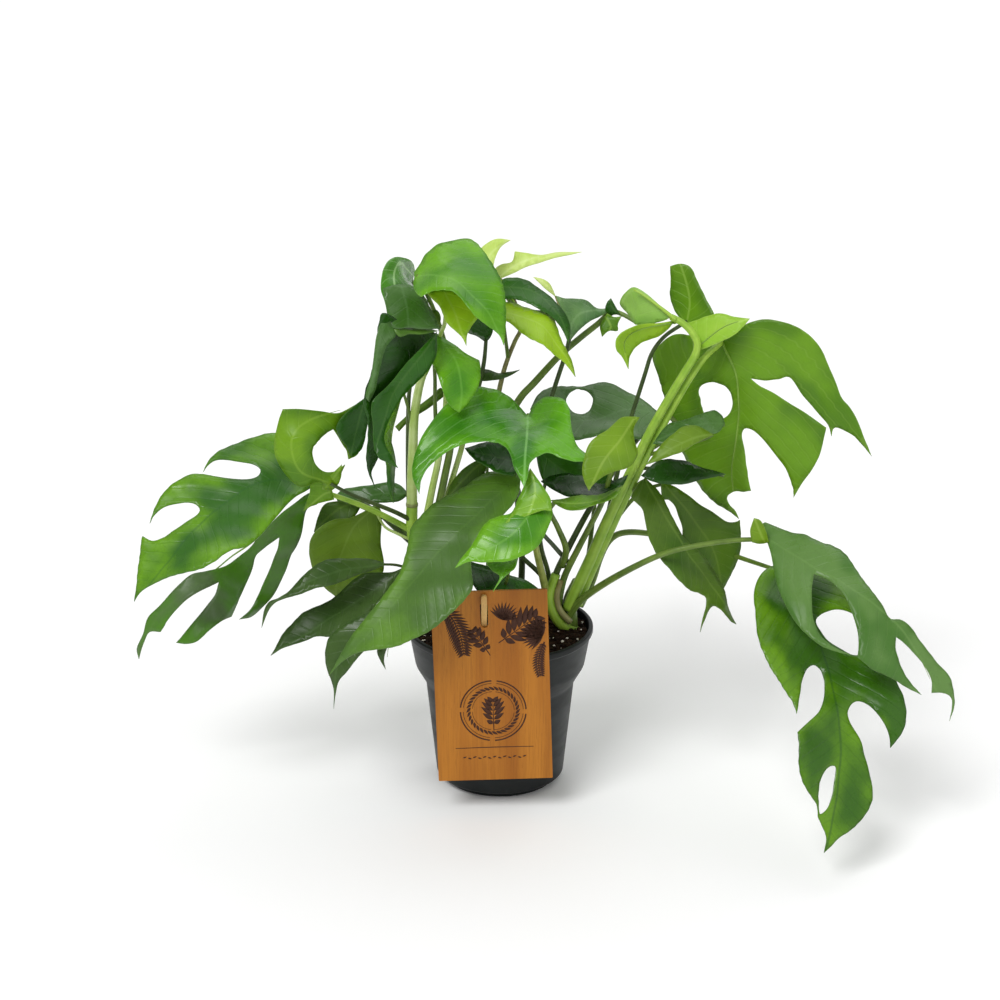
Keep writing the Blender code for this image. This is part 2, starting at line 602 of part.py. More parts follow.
            (596, 438, 1), (601, 427), (600, 415), (605, 404), (616, 398), (629, 398), (641, 402),
            (651, 408, 1), (654, 418), (648, 429), (636, 436), (622, 439), (608, 440),
        ],
    ),
    "leaf_back_right": leaf(
        rib=[(750, 374, 20), (775, 362, 60), (800, 354, 100), (817, 352, 125)],
        sides=[(768, 342, 75), (800, 371, 62)],
        edge=[
            (747, 376, 1), (752, 364), (758, 351), (769, 341), (784, 336), (800, 339), (811, 345),
            (819, 353, 1), (813, 362), (802, 370), (788, 374), (772, 374), (758, 377),
        ],
    ),
}

# Each stem's trunk runs from the soil upwards. Each stalk is its radius where it leaves the trunk, and its
# points from inside the trunk towards the leaf that it carries.
STEMS = {
    "stem_left": {
        "radii": (4.2, 2.6),
        "trunk": [(-38, 6, 114), (-46, 4, 132), (-58, 0, 166), (-57, -2, 215), (-50, -4, 268), (-42, 0, 296)],
        "stalks": {
            "leaf_left_upper": (1.8, [(-58, 0, 168), (-88, -4, 186), (-110, -10, 201)]),
            "leaf_left_lower": (1.6, [(-56, 2, 162), (-84, 13, 173), (-104, 15, 187)]),
            "leaf_left_curled": (1.5, [(-58, 0, 176), (-86, -22, 190), (-102, -34, 208)]),
            "leaf_left_back": (1.3, [(-57, 2, 168), (-58, 22, 172)]),
            "leaf_left_round": (1.4, [(-54, 2, 156), (-74, 12, 164)]),
            "leaf_left_under": (1.2, [(-57, 2, 166), (-76, 20, 172)]),
            "leaf_left_spear": (1.3, [(-47, 4, 134), (-57, -11, 142)]),
            "leaf_low_spear": (1.3, [(-43, 5, 122), (-54, 0, 136)]),
            "leaf_low_fold": (1.4, [(-40, 5, 112), (-48, -14, 128), (-56, -34, 138)]),
            "leaf_low_small": (1.2, [(-39, 5, 106), (-46, -24, 122), (-54, -48, 134)]),
            "leaf_left_strip": (1.3, [(-56, -2, 225), (-50, 0, 250)]),
            "leaf_left_hanging": (1.5, [(-44, -1, 290), (-45, -9, 303)]),
            "leaf_mid_bright": (1.5, [(-46, -3, 280), (-40, -2, 296)]),
            "leaf_under_heart": (1.3, [(-43, -1, 294), (-32, -6, 318), (-30, -24, 330)]),
            "leaf_top_dome": (1.5, [(-43, -1, 292), (-46, 22, 306), (-56, 40, 318)]),
            "leaf_top_heart": (1.7, [(-43, 0, 290), (-37, -3, 318), (-40, -14, 339)]),
        },
    },
    "stem_centre": {
        "radii": (4.4, 1.8),
        "trunk": [(-4, 20, 114), (-6, 20, 138), (-2, 22, 170), (4, 22, 212), (3, 24, 262), (12, 24, 296)],
        "stalks": {
            "leaf_small_dark": (1.3, [(4, 22, 206), (-9, 26, 262), (-10, 24, 286)]),
            "leaf_back_spear": (1.2, [(4, 22, 206), (-14, 26, 250)]),
            "leaf_young_tip": (1.1, [(12, 24, 292), (5, 28, 310)]),
            "leaf_young_spear": (1.2, [(12, 24, 294), (8, 30, 312)]),
            "leaf_dark_arch": (1.2, [(12, 24, 295), (8, 26, 312)]),
            "leaf_yellow_arch": (1.2, [(11, 24, 290), (8, 12, 304)]),
            "leaf_blue_back": (2.0, [(4, 22, 205), (18, 28, 250), (42, 36, 278), (66, 46, 296)]),
            "leaf_bud": (1.3, [(38, 35, 275), (39, 35, 292), (40, 33, 308)]),
            "leaf_back_left": (1.5, [(4, 22, 200), (0, 32, 210)]),
            "leaf_centre_split": (1.9, [(4, 22, 206), (12, 10, 228), (18, -4, 244)]),
            "leaf_behind_a": (1.2, [(3, 22, 205), (8, 4, 218), (10, -12, 222)]),
            "leaf_behind_b": (1.2, [(-1, 22, 180), (-8, 6, 205), (-8, -8, 220)]),
            "leaf_front_olive": (2.0, [(-4, 21, 150), (0, 6, 180), (10, -10, 206)]),
            "leaf_front_small": (1.5, [(-3, 21, 160), (22, -4, 184), (28, -40, 214)]),
            "leaf_front_lobe": (1.2, [(-5, 20, 135), (12, -18, 150), (14, -54, 172)]),
            "leaf_front_dark": (1.3, [(-5, 20, 130), (-12, 4, 146)]),
            "leaf_blue_low": (1.4, [(0, 22, 172), (16, 8, 196), (24, -4, 206)]),
            "leaf_edge_green": (1.3, [(-2, 21, 160), (18, 0, 180), (26, -34, 198)]),
        },
    },
    "stem_right": {
        "radii": (4.6, 3.2),
        "trunk": [(42, 5, 112), (45, 3, 122), (53, -2, 140), (66, -10, 168), (80, -16, 196), (90, -18, 214)],
        "stalks": {
            "leaf_new_light": (2.4, [(84, -17, 204), (100, -22, 240), (117, -26, 284)]),
            "leaf_right_big": (2.6, [(84, -17, 204), (112, -22, 244), (134, -18, 288)]),
            "leaf_new_curled": (2.2, [(112, -27, 276), (124, -31, 304), (118, -30, 316)]),
            "leaf_new_blue": (1.6, [(124, -31, 304), (118, -30, 316)]),
            "leaf_upright": (
                1.4, [(66, -10, 168), (82, 6, 220), (90, 10, 258), (97, 12, 286), (106, 8, 300)],
            ),
            "leaf_dark_hole": (1.7, [(60, -6, 155), (84, 22, 200), (100, 46, 230)]),
            "leaf_dark_lobe": (1.3, [(88, -17, 210), (112, -26, 234), (136, -28, 248)]),
            "leaf_light_right": (1.3, [(88, -18, 211), (110, -28, 238), (127, -46, 246)]),
            "leaf_dark_spear": (1.3, [(86, -17, 208), (112, -16, 216), (136, -26, 222)]),
            "leaf_yellow_right": (1.4, [(74, -14, 184), (74, -46, 200), (78, -53, 236)]),
            "leaf_lower_split": (1.5, [(72, -13, 180), (84, -22, 204)]),
            "leaf_lower_round": (1.5, [(60, -6, 155), (84, 6, 186), (104, 2, 204)]),
            "leaf_right_upper": (
                1.9, [(47, 1, 126), (64, -28, 142), (94, -58, 174), (125, -56, 184), (150, -48, 184)],
            ),
            "leaf_right_lower": (
                1.8, [(56, -4, 146), (84, 20, 182), (132, 24, 188), (158, 8, 180), (170, -26, 168)],
            ),
            "leaf_back_middle": (1.5, [(60, -6, 155), (64, 24, 184), (66, 48, 204)]),
            "leaf_back_right": (1.5, [(112, -22, 244), (136, -4, 258), (154, 10, 266)]),
        },
    },
}


def on_ray(places):
    """Points in mm that the viewer sees at x and y of the picture, at a depth in mm along +Y."""
    places = np.atleast_2d(np.asarray(places, float))
    right = (places[:, 0] - PICTURE_MIDDLE) / FOCAL
    up = (PICTURE_MIDDLE - places[:, 1]) / FOCAL
    pitch = math.radians(VIEW_PITCH)
    rays = np.column_stack([
        right,
        math.cos(pitch) + up * math.sin(pitch),
        up * math.cos(pitch) - math.sin(pitch),
    ])
    eye = VIEW_TARGET - VIEW_DISTANCE * np.array([0.0, math.cos(pitch), -math.sin(pitch)])
    return eye + rays * ((places[:, 2] - eye[1]) / rays[:, 1])[:, None]


def bending(first, second):
    """How far each of the first places is pulled by each of the second in a thin sheet."""
    apart = np.linalg.norm(first[:, None] - second[None], axis=2) + 1e-9
    return apart ** 2 * np.log(apart)


def on_blade(shape, places):
    """Points in mm of a leaf's middle sheet: a thin sheet bent through the places whose depth is known."""
    known = np.array(shape["rib"] + shape["sides"], float)
    near = known[:, :2] / SHEET_SCALE
    count = len(known)
    system = np.zeros((count + 3, count + 3))
    system[:count, :count] = bending(near, near) + SHEET_SLACK * np.eye(count)
    system[:count, count:] = np.column_stack([np.ones(count), near])
    system[count:, :count] = system[:count, count:].T
    pulls = np.linalg.solve(system, np.append(known[:, 2], np.zeros(3)))
    places = np.atleast_2d(np.asarray(places, float))[:, :2]
    spread = places / SHEET_SCALE
    depth = bending(spread, near) @ pulls[:count]
    depth += np.column_stack([np.ones(len(places)), spread]) @ pulls[count:]
    return on_ray(np.column_stack([places, depth]))


def front_normals(shape, places):
    """The blade's directions towards the viewer's side, at places in the picture."""
    places = np.atleast_2d(np.asarray(places, float))[:, :2]
    here = on_blade(shape, places)
    right = on_blade(shape, places + (1.0, 0.0)) - here
    down = on_blade(shape, places + (0.0, 1.0)) - here
    normals = np.cross(down, right)
    return normals / np.linalg.norm(normals, axis=1)[:, None]


def curve(points, steps=CURVE_STEPS, closed=False):
    """A smooth curve through a few points, with `steps` places between each pair."""
    points = np.asarray(points, float)
    if closed:
        ends = np.vstack([points[-1:], points, points[:2]])
    else:
        ends = np.vstack([2 * points[:1] - points[1:2], points, 2 * points[-1:] - points[-2:-1]])
    dense = []
    for a, b, c, d in zip(ends[:-3], ends[1:-2], ends[2:-1], ends[3:]):
        t = np.linspace(0, 1, steps, endpoint=False)[:, None]
        bend = (2 * a - 5 * b + 4 * c - d) * t ** 2 + (3 * b - a - 3 * c + d) * t ** 3
        dense.append((2 * b + (c - a) * t + bend) / 2)
    return np.vstack(dense + [ends[-2:-1]])


def paced(dense, step):
    """Points about a step apart along a dense curve, both ends included."""
    lengths = np.concatenate([[0], np.cumsum(np.linalg.norm(np.diff(dense, axis=0), axis=1))])
    marks = np.linspace(0, lengths[-1], max(1, round(lengths[-1] / step)) + 1)
    return np.column_stack([np.interp(marks, lengths, dense[:, k]) for k in range(dense.shape[1])])


def outline(edge, step):
    """Points round a blade, smooth between its corners and sharp at them."""
    corners = [k for k, place in enumerate(edge) if len(place) > 2]
    flat = [place[:2] for place in edge]
    loop = []
    for number, start in enumerate(corners):
        end = corners[(number + 1) % len(corners)]
        if end <= start:
            end += len(edge)
        run = [flat[k % len(edge)] for k in range(start, end + 1)]
        loop.append(paced(curve(run), step)[:-1])
    return np.vstack(loop)


def inside(points, loop):
    """Which points lie inside a closed loop."""
    hit = np.zeros(len(points), bool)
    for (ax, ay), (bx, by) in zip(loop, np.roll(loop, -1, axis=0)):
        crosses = (ay > points[:, 1]) != (by > points[:, 1])
        if ay != by:
            hit ^= crosses & (points[:, 0] < (bx - ax) * (points[:, 1] - ay) / (by - ay) + ax)
    return hit


def distance_to(points, loop, closed=True):
    """How far each point is from a line of points, and the nearest place along it."""
    starts = loop if closed else loop[:-1]
    ends = np.roll(loop, -1, axis=0) if closed else loop[1:]
    best = np.full(len(points), np.inf)
    along = np.zeros(len(points))
    travelled = 0.0
    for a, b in zip(starts, ends):
        span = b - a
        length = np.linalg.norm(span)
        share = np.clip((points - a) @ span / max(length ** 2, 1e-12), 0, 1)
        gap = np.linalg.norm(points - a - share[:, None] * span, axis=1)
        nearer = gap < best
        best[nearer] = gap[nearer]
        along[nearer] = travelled + share[nearer] * length
        travelled += length
    return best, along


def sheet(shape, step):
    """A leaf's places in the picture and its triangles: its outline, its holes and a grid within them."""
    loops = [outline(shape["edge"], step)]
    loops += [paced(curve(hole, closed=True), step)[:-1] for hole in shape["holes"]]
    rib = paced(curve([place[:2] for place in shape["rib"]]), step * GRID_SHARE)
    spacing = step * GRID_SHARE
    low = loops[0].min(axis=0)
    high = loops[0].max(axis=0)
    rows = np.arange(low[1], high[1], spacing * math.sqrt(3) / 2)
    grid = np.array([
        (x + (row % 2) * spacing / 2, y)
        for row, y in enumerate(rows)
        for x in np.arange(low[0], high[0], spacing)
    ])
    grid = grid[distance_to(grid, rib, closed=False)[0] > spacing * 0.6]
    grid = np.vstack([grid, rib])
    grid = grid[inside(grid, loops[0])]
    for loop in loops:
        grid = grid[distance_to(grid, loop)[0] > spacing * 0.55]
    for hole in loops[1:]:
        grid = grid[~inside(grid, hole)]
    edges = []
    count = 0
    for loop in loops:
        edges += [(count + k, count + (k + 1) % len(loop)) for k in range(len(loop))]
        count += len(loop)
    places = np.vstack(loops + [grid])
    found = delaunay_2d_cdt([Vector(place) for place in places], edges, [], 0, 1e-5)
    places = np.array([tuple(place) for place in found[0]])
    triangles = np.array([tuple(face) for face in found[2]])
    centres = places[triangles].mean(axis=1)
    keep = inside(centres, loops[0])
    for hole in loops[1:]:
        keep &= ~inside(centres, hole)
    return places, triangles[keep]


def blade(shape, step, thickness):
    """A leaf's points in mm, its faces, and its places in the picture, front sheet first."""
    places, triangles = sheet(shape, step)
    used = np.unique(triangles)
    renumber = np.zeros(len(places), int)
    renumber[used] = np.arange(len(used))
    places, triangles = places[used], renumber[triangles]
    middle = on_blade(shape, places)
    normals = front_normals(shape, places)
    rib = on_blade(shape, curve([place[:2] for place in shape["rib"]]))
    from_rib = distance_to(middle, rib, closed=False)[0]
    middle = middle + normals * (shape["fold"] * (1 - np.exp(-(from_rib / FOLD_REACH) ** 2)))[:, None]
    corners = middle[triangles]
    turned_to = np.cross(corners[:, 1] - corners[:, 0], corners[:, 2] - corners[:, 0])
    backwards = (turned_to * normals[triangles[:, 0]]).sum(axis=1) < 0
    triangles[backwards] = triangles[backwards][:, ::-1]
    count = len(middle)
    points = np.vstack([middle + normals * thickness / 2, middle - normals * thickness / 2])
    faces = [tuple(face) for face in triangles] + [tuple(face[::-1] + count) for face in triangles]
    sides = {(int(face[k - 1]), int(face[k])) for face in triangles for k in range(3)}
    for start, end in sorted(sides):
        if (end, start) not in sides:
            faces += [(end, start, start + count), (end, start + count, end + count)]
    return points, faces, places


def build_leaves():
    for name, shape in LEAVES.items():
        points, faces, _ = blade(shape, EDGE_STEP, BLADE_THICKNESS)
        thing = bpy.data.objects.new(name, mesh_from(name, points, faces))
        bpy.context.scene.collection.objects.link(thing)
        dress(thing, shape["colour"], 0.35)


def mesh_from(name, points, faces):
    mesh = bpy.data.meshes.new(name)
    mesh.from_pydata([tuple(p * MM for p in point) for point in points], [], faces)
    mesh.validate()
    return mesh


def tube(name, route, radii, sides):
    """A closed tube along a route, whose frame turns as little as it can."""
    directions = [(b - a).normalized() for a, b in zip(route[:-1], route[1:])]
    directions = [directions[0]] + [(a + b).normalized() for a, b in zip(directions[:-1], directions[1:])] + [
        directions[-1]
    ]
    side = directions[0].orthogonal().normalized()
    points = []
    for centre, forward, radius in zip(route, directions, radii):
        side = (side - forward * side.dot(forward)).normalized()
        other = forward.cross(side)
        for k in range(sides):
            turn = 2 * math.pi * k / sides
            points.append(centre + (side * math.cos(turn) + other * math.sin(turn)) * radius)
    faces = [tuple(range(sides - 1, -1, -1))]
    for ring in range(len(route) - 1):
        for k in range(sides):
            near = ring * sides + k
            along = ring * sides + (k + 1) % sides
            faces.append((near, along, along + sides, near + sides))
    last = (len(route) - 1) * sides
    faces.append(tuple(range(last, last + sides)))
    return bpy.data.objects.new(name, mesh_from(name, points, faces))


def stalk_end(shape, before):
    """Where a stalk that comes from `before` stops, so that its end stays just clear of the blade's base."""
    foot = [shape["rib"][0][:2]]
    base = on_blade(shape, foot)[0]
    rise = front_normals(shape, foot)[0] * -shape["stalk_side"]
    way = base - np.array(before)
    way /= np.linalg.norm(way)
    reach = STALK_TIP_RADIUS * math.sqrt(max(0.0, 1 - (way @ rise) ** 2))
    return Vector(base - rise * (BLADE_THICKNESS / 2 + STALK_GAP + reach))


def fuse(body, others):
    """Fuse a collection's objects into one body, and remove them."""
    group = bpy.data.collections.new(body.name + "_parts")
    bpy.context.scene.collection.children.link(group)
    for other in others:
        group.objects.link(other)
    union = body.modifiers.new("union", "BOOLEAN")
    union.operation = "UNION"
    union.operand_type = "COLLECTION"
    union.collection = group
    apply_modifiers(body)
    for other in others:
        bpy.data.objects.remove(other, do_unlink=True)
    bpy.data.collections.remove(group)


def apply_modifiers(thing):
    view = bpy.context.evaluated_depsgraph_get()
    mesh = bpy.data.meshes.new_from_object(thing.evaluated_get(view))
    thing.modifiers.clear()
    thing.data = mesh


def build_stems():
    for name, stem in STEMS.items():
        trunk_route = [Vector(place) for place in curve(stem["trunk"], TRUNK_BENDS)]
        root = trunk_route[0] - Vector((0, 0, TRUNK_DEPTH))
        route = [root] + trunk_route
        thick, thin = stem["radii"]
        radii = [thick] + [thick + (thin - thick) * k / (len(route) - 2) for k in range(len(route) - 1)]
        body = tube(name, route, radii, TRUNK_SIDES)
        bpy.context.scene.collection.objects.link(body)
        stalks = []
        for leaf_name, (radius, points) in stem["stalks"].items():
            end = stalk_end(LEAVES[leaf_name], points[-1])
            way = [Vector(place) for place in curve(points + [end], STALK_BENDS)]
            thinner = STALK_TIP_RADIUS - radius
            sizes = [radius + thinner * (k / (len(way) - 1)) ** 2 for k in range(len(way))]
            stalks.append(tube(leaf_name + "_stalk", way, sizes, STALK_SIDES))
        fuse(body, stalks)
        dress(body, STEM_COLOUR, 0.4)


def turned(name, profile, segments):
    """A closed body turned about the Z axis from a profile that starts and ends on it."""
    points = [(0.0, 0.0, profile[0][1])]
    for radius, height in profile[1:-1]:
        for k in range(segments):
            turn = 2 * math.pi * k / segments
            points.append((radius * math.cos(turn), radius * math.sin(turn), height))
    points.append((0.0, 0.0, profile[-1][1]))
    rings = len(profile) - 2
    faces = []
    for k in range(segments):
        after = (k + 1) % segments
        faces.append((0, 1 + after, 1 + k))
        for ring in range(rings - 1):
            low = 1 + ring * segments
            faces.append((low + k, low + after, low + segments + after, low + segments + k))
        last = 1 + (rings - 1) * segments
        faces.append((last + k, last + after, len(points) - 1))
    thing = bpy.data.objects.new(name, mesh_from(name, points, faces))
    bpy.context.scene.collection.objects.link(thing)
    return thing


def pot_wall_profile(inset):
    """The pot's side from its foot to its lip, moved inwards by `inset`."""
    return [
        (BODY_FOOT_RADIUS - inset, FOOT_HEIGHT + 1.5),
        (BODY_TOP_RADIUS - inset, POT_TOP - STEP_DROP),
        (BAND_RADIUS - inset, POT_TOP - BAND_DROP),
        (BAND_TOP_RADIUS - inset, POT_TOP - LIP_DROP),
    ]


def build_pot():
    bottom = [
        (0.0, 0.0),
        (HUB_RADIUS, 0.0),
        (HUB_RADIUS, FOOT_HEIGHT),
        (FOOT_INNER_RADIUS, FOOT_HEIGHT),
        (FOOT_INNER_RADIUS, 0.0),
        (FOOT_RADIUS, 0.0),
        (FOOT_RADIUS, FOOT_HEIGHT),
        (BODY_FOOT_RADIUS - 1.5, FOOT_HEIGHT),
    ]
    lip = [
        (RIM_RADIUS, POT_TOP - LIP_DROP + 1),
        (RIM_RADIUS, POT_TOP - 1),
        (RIM_RADIUS - 1, POT_TOP),
        (BAND_TOP_RADIUS - POT_WALL, POT_TOP),
    ]
    inner = pot_wall_profile(POT_WALL)[::-1]
    inner[-1] = (inner[-1][0], POT_FLOOR)
    pot = turned("pot", bottom + pot_wall_profile(0.0) + lip + inner + [(0.0, POT_FLOOR)], POT_SEGMENTS)
    for number in range(DRAIN_HOLES):
        turn = 2 * math.pi * (number + 0.5) / DRAIN_HOLES
        hole = cutter_cylinder(f"drain_{number}", DRAIN_RADIUS, -1.0, POT_FLOOR + 1.0)
        hole.location = (DRAIN_RING * math.cos(turn) * MM, DRAIN_RING * math.sin(turn) * MM, 0)
        cut(pot, hole)
    dress(pot, POT_COLOUR, 0.55)


def cutter_cylinder(name, radius, low, high, sides=16):
    mesh = bpy.data.meshes.new(name)
    shape = bmesh.new()
    bmesh.ops.create_cone(
        shape,
        cap_ends=True,
        segments=sides,
        radius1=radius * MM,
        radius2=radius * MM,
        depth=(high - low) * MM,
    )
    bmesh.ops.translate(shape, verts=shape.verts, vec=(0, 0, (low + high) / 2 * MM))
    shape.to_mesh(mesh)
    shape.free()
    return cutter(name, mesh)


def cutter(name, mesh):
    thing = bpy.data.objects.new(name, mesh)
    bpy.context.scene.collection.objects.link(thing)
    thing.hide_render = True
    thing.display_type = "WIRE"
    return thing


def cut(body, tool):
    """Cut one tool out of a body, and remove the tool."""
    difference = body.modifiers.new("cut", "BOOLEAN")
    difference.operation = "DIFFERENCE"
    difference.object = tool
    apply_modifiers(body)
    bpy.data.objects.remove(tool, do_unlink=True)


def soil_height(x, y):
    """The lumpy top of the soil, a little higher in the middle."""
    radius = math.hypot(x, y) / BAND_TOP_RADIUS
    lumps = math.sin(0.31 * x + 1.0) * math.cos(0.27 * y) + 0.6 * math.sin(0.55 * y - 0.23 * x + 2.0)
    return SOIL_TOP + SOIL_MOUND * (1 - radius ** 2) + SOIL_LUMP * lumps * min(1.0, 2 * (1 - radius))


def build_soil():
    inset = POT_WALL + FIT
    walls = pot_wall_profile(inset)
    walls[0] = (walls[0][0], POT_FLOOR + FIT)
    edge = walls[-1][0] - 0.5
    walls[-1] = (edge, SOIL_TOP)
    tops = [(edge * (SOIL_RINGS - k) / SOIL_RINGS, SOIL_TOP) for k in range(1, SOIL_RINGS)]
    soil = turned("soil", [(0.0, POT_FLOOR + FIT)] + walls + tops + [(0.0, SOIL_TOP)], SOIL_SEGMENTS)
    for vertex in soil.data.vertices:
        if vertex.co.z > (SOIL_TOP - 0.1) * MM:
            vertex.co.z = soil_height(vertex.co.x / MM, vertex.co.y / MM) * MM
    for name, stem in STEMS.items():
        x, y, z = stem["trunk"][0]
        radius = stem["radii"][0] + 2 * FIT
        hole = cutter_cylinder(name + "_hole", radius, z - TRUNK_DEPTH - FIT, POT_TOP + 20)
        hole.location = (x * MM, y * MM, 0)
        cut(soil, hole)
    hole = box("stake_hole", (STAKE_WIDTH + 2 * FIT, STAKE_THICKNESS + 2 * FIT, STAKE_LENGTH + 2 * FIT))
    seat_stake(hole)
    cut(soil, hole)
    dress(soil, SOIL_COLOUR, 0.95)


def box(name, size, bevel=0.0):
    mesh = bpy.data.meshes.new(name)
    shape = bmesh.new()
    bmesh.ops.create_cube(shape, size=1.0)
    bmesh.ops.scale(shape, vec=[s * MM for s in size], verts=shape.verts)
    if bevel:
        bmesh.ops.bevel(shape, geom=list(shape.edges), offset=bevel * MM, segments=1, affect="EDGES")
    shape.to_mesh(mesh)
    shape.free()
    thing = bpy.data.objects.new(name, mesh)
    bpy.context.scene.collection.objects.link(thing)
    return thing


def board_y(height):
    """Where the leaning board's middle plane lies at a height: it rests against the front of the rim."""
    return -RIM_RADIUS - 2 * FIT - BOARD_THICKNESS / 2 - math.tan(BOARD_LEAN) * (height - POT_TOP)


def seat_board(thing):
    """Turn a piece a little, lean its foot towards the pot, and move it to the board's place."""
    centre = Vector((BOARD_CENTRE_X, board_y(BOARD_CENTRE_Z), BOARD_CENTRE_Z)) * MM
    thing.data.transform(
        Matrix.Translation(centre) @ Matrix.Rotation(BOARD_LEAN, 4, "X") @ Matrix.Rotation(BOARD_TURN, 4, "Y")
    )


def seat_stake(thing):
    """Lean a piece along the stake, from the soil out through the slot."""
    slide = STAKE_PROUD - STAKE_LENGTH / 2
    crossing = Vector((STAKE_X, board_y(STAKE_CROSSING_Z), STAKE_CROSSING_Z)) * MM
    along = Matrix.Translation((0, 0, slide * MM))
    thing.data.transform(Matrix.Translation(crossing) @ Matrix.Rotation(STAKE_TILT, 4, "X") @ along)


def build_label():
    board = box("label_board", (BOARD_WIDTH, BOARD_THICKNESS, BOARD_HEIGHT), bevel=0.4)
    seat_board(board)
    slot = box("slot", (SLOT_WIDTH, 4 * BOARD_THICKNESS, SLOT_HEIGHT))
    slot.hide_render = True
    slot.display_type = "WIRE"
    crossing = Vector((STAKE_X, board_y(STAKE_CROSSING_Z), STAKE_CROSSING_Z)) * MM
    slot.data.transform(Matrix.Translation(crossing))
    cut(board, slot)
    dress(board, WOOD_COLOUR, 0.6)
    stake = box("label_stake", (STAKE_WIDTH, STAKE_THICKNESS, STAKE_LENGTH), bevel=0.3)
    seat_stake(stake)
    dress(stake, PEG_COLOUR, 0.6)


def dress(thing, colour, roughness):
    material = bpy.data.materials.new(thing.name)
    material.use_nodes = True
    shader = material.node_tree.nodes["Principled BSDF"]
    shader.inputs["Base Color"].default_value = colour
    shader.inputs["Roughness"].default_value = roughness
    thing.data.materials.clear()
    thing.data.materials.append(material)


def clear_scene():
    for thing in list(bpy.data.objects):
        bpy.data.objects.remove(thing, do_unlink=True)


def main():
    clear_scene()
    build_pot()
    build_soil()
    build_stems()
    build_leaves()
    build_label()


main()
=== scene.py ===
import json
import math

import bpy
import numpy as np
from mathutils import Matrix, Vector
from mathutils.geometry import delaunay_2d_cdt


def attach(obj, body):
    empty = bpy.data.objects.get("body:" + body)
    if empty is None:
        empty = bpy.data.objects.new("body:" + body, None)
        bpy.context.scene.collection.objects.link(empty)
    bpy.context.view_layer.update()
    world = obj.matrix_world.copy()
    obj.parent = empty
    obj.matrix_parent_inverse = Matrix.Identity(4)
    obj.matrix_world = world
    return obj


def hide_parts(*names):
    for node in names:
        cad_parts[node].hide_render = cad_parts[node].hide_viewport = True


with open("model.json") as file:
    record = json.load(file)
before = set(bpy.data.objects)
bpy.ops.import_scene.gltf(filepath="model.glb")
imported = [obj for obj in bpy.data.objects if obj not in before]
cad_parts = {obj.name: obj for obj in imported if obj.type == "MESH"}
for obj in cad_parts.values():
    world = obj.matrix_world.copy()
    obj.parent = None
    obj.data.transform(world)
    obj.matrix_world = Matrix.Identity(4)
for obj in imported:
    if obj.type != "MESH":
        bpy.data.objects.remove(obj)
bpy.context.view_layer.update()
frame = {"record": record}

MM = 0.001
METRES = Matrix.Diagonal((MM, MM, MM, 1.0))
dice = np.random.default_rng(7)

# The viewer's place, with distances in mm, and a picture 1000 places wide and high
VIEW_PITCH = math.radians(19.7)
VIEW_WAY = np.array([0.0, math.cos(VIEW_PITCH), -math.sin(VIEW_PITCH)])
VIEW_DISTANCE = 1800.0
VIEW_TARGET = np.array([0.0, 0.0, 194.0])
EYE = VIEW_TARGET - VIEW_DISTANCE * VIEW_WAY
FOCAL = 2790.7
PICTURE_SIDE = 1000.0
PICTURE_MIDDLE = PICTURE_SIDE / 2
SENSOR_WIDTH = 36.0
VIEW_END = 100.0

# Soft lamps far away: where each shines from, how wide it looks in degrees, and its strength
WORLD_STRENGTH = 0.4
SUNS = (
    ("key", (-0.45, -0.75, 1.0), 26.0, 1.8),
    ("fill", (0.9, -0.8, 0.6), 70.0, 0.6),
    ("rear", (0.2, 0.7, 1.0), 60.0, 0.8),
)

# The floor
FLOOR_RADIUS = 15000.0
FLOOR_SIDES = 96

# How a blade's mesh is laid out, with steps in places of the picture
BLADE_THICKNESS = 0.5
EDGE_STEP = 2.6
GRID_SHARE = 1.5
RIB_CLEAR = 0.6
EDGE_CLEAR = 0.55
CURVE_STEPS = 8
SHEET_SCALE = 100.0
SHEET_SLACK = 0.01
MERGE_DISTANCE = 1e-5
MM_PER_PLACE = 0.645

# How far a blade stands off its flat sheet: its fold, the net between its veins and its soft waves
FOLD_REACH = 9.0
SIDE_VEIN_GAP = 8.0
VEIN_SWEEP = 0.8
PUCKER = 0.3
SMOOTH_TONES = ("leathery",)
SMOOTH_SHARE = 0.2
SWELL = 0.9
SWELL_LENGTHS = (9.5, 6.5)
SWELL_FINE = 0.4
FINE_LENGTHS = (4.1, 5.3)

# What a blade's skin shows, with widths in mm
VEIN_WANDER = 2.5
SIDE_VEIN_WIDTH = 0.8
FINE_VEIN_WIDTH = 0.5
MIDRIB_WIDTHS = (0.3, 1.1)
MARGIN_WIDTH = 14.0
EDGE_LINE_WIDTH = 0.7
UNDERSIDE_ROUGHER = 0.12

# The raised midrib on a blade's stalk side
RIB_STEP = 4.0
RIB_SHARE = 0.85
RIB_SIDES = 8
RIB_PROUD = 0.62
RIB_TIP = 0.12
RIB_RADIUS = 0.7
RIB_TAPER = 0.8
RIB_FULL_STEPS = 30

# Stems and stalks
TUBE_SIDES = 14
TUBE_STEP = 2.5
STALK_SEAT = 0.6
CANE_STREAKS = 7.0

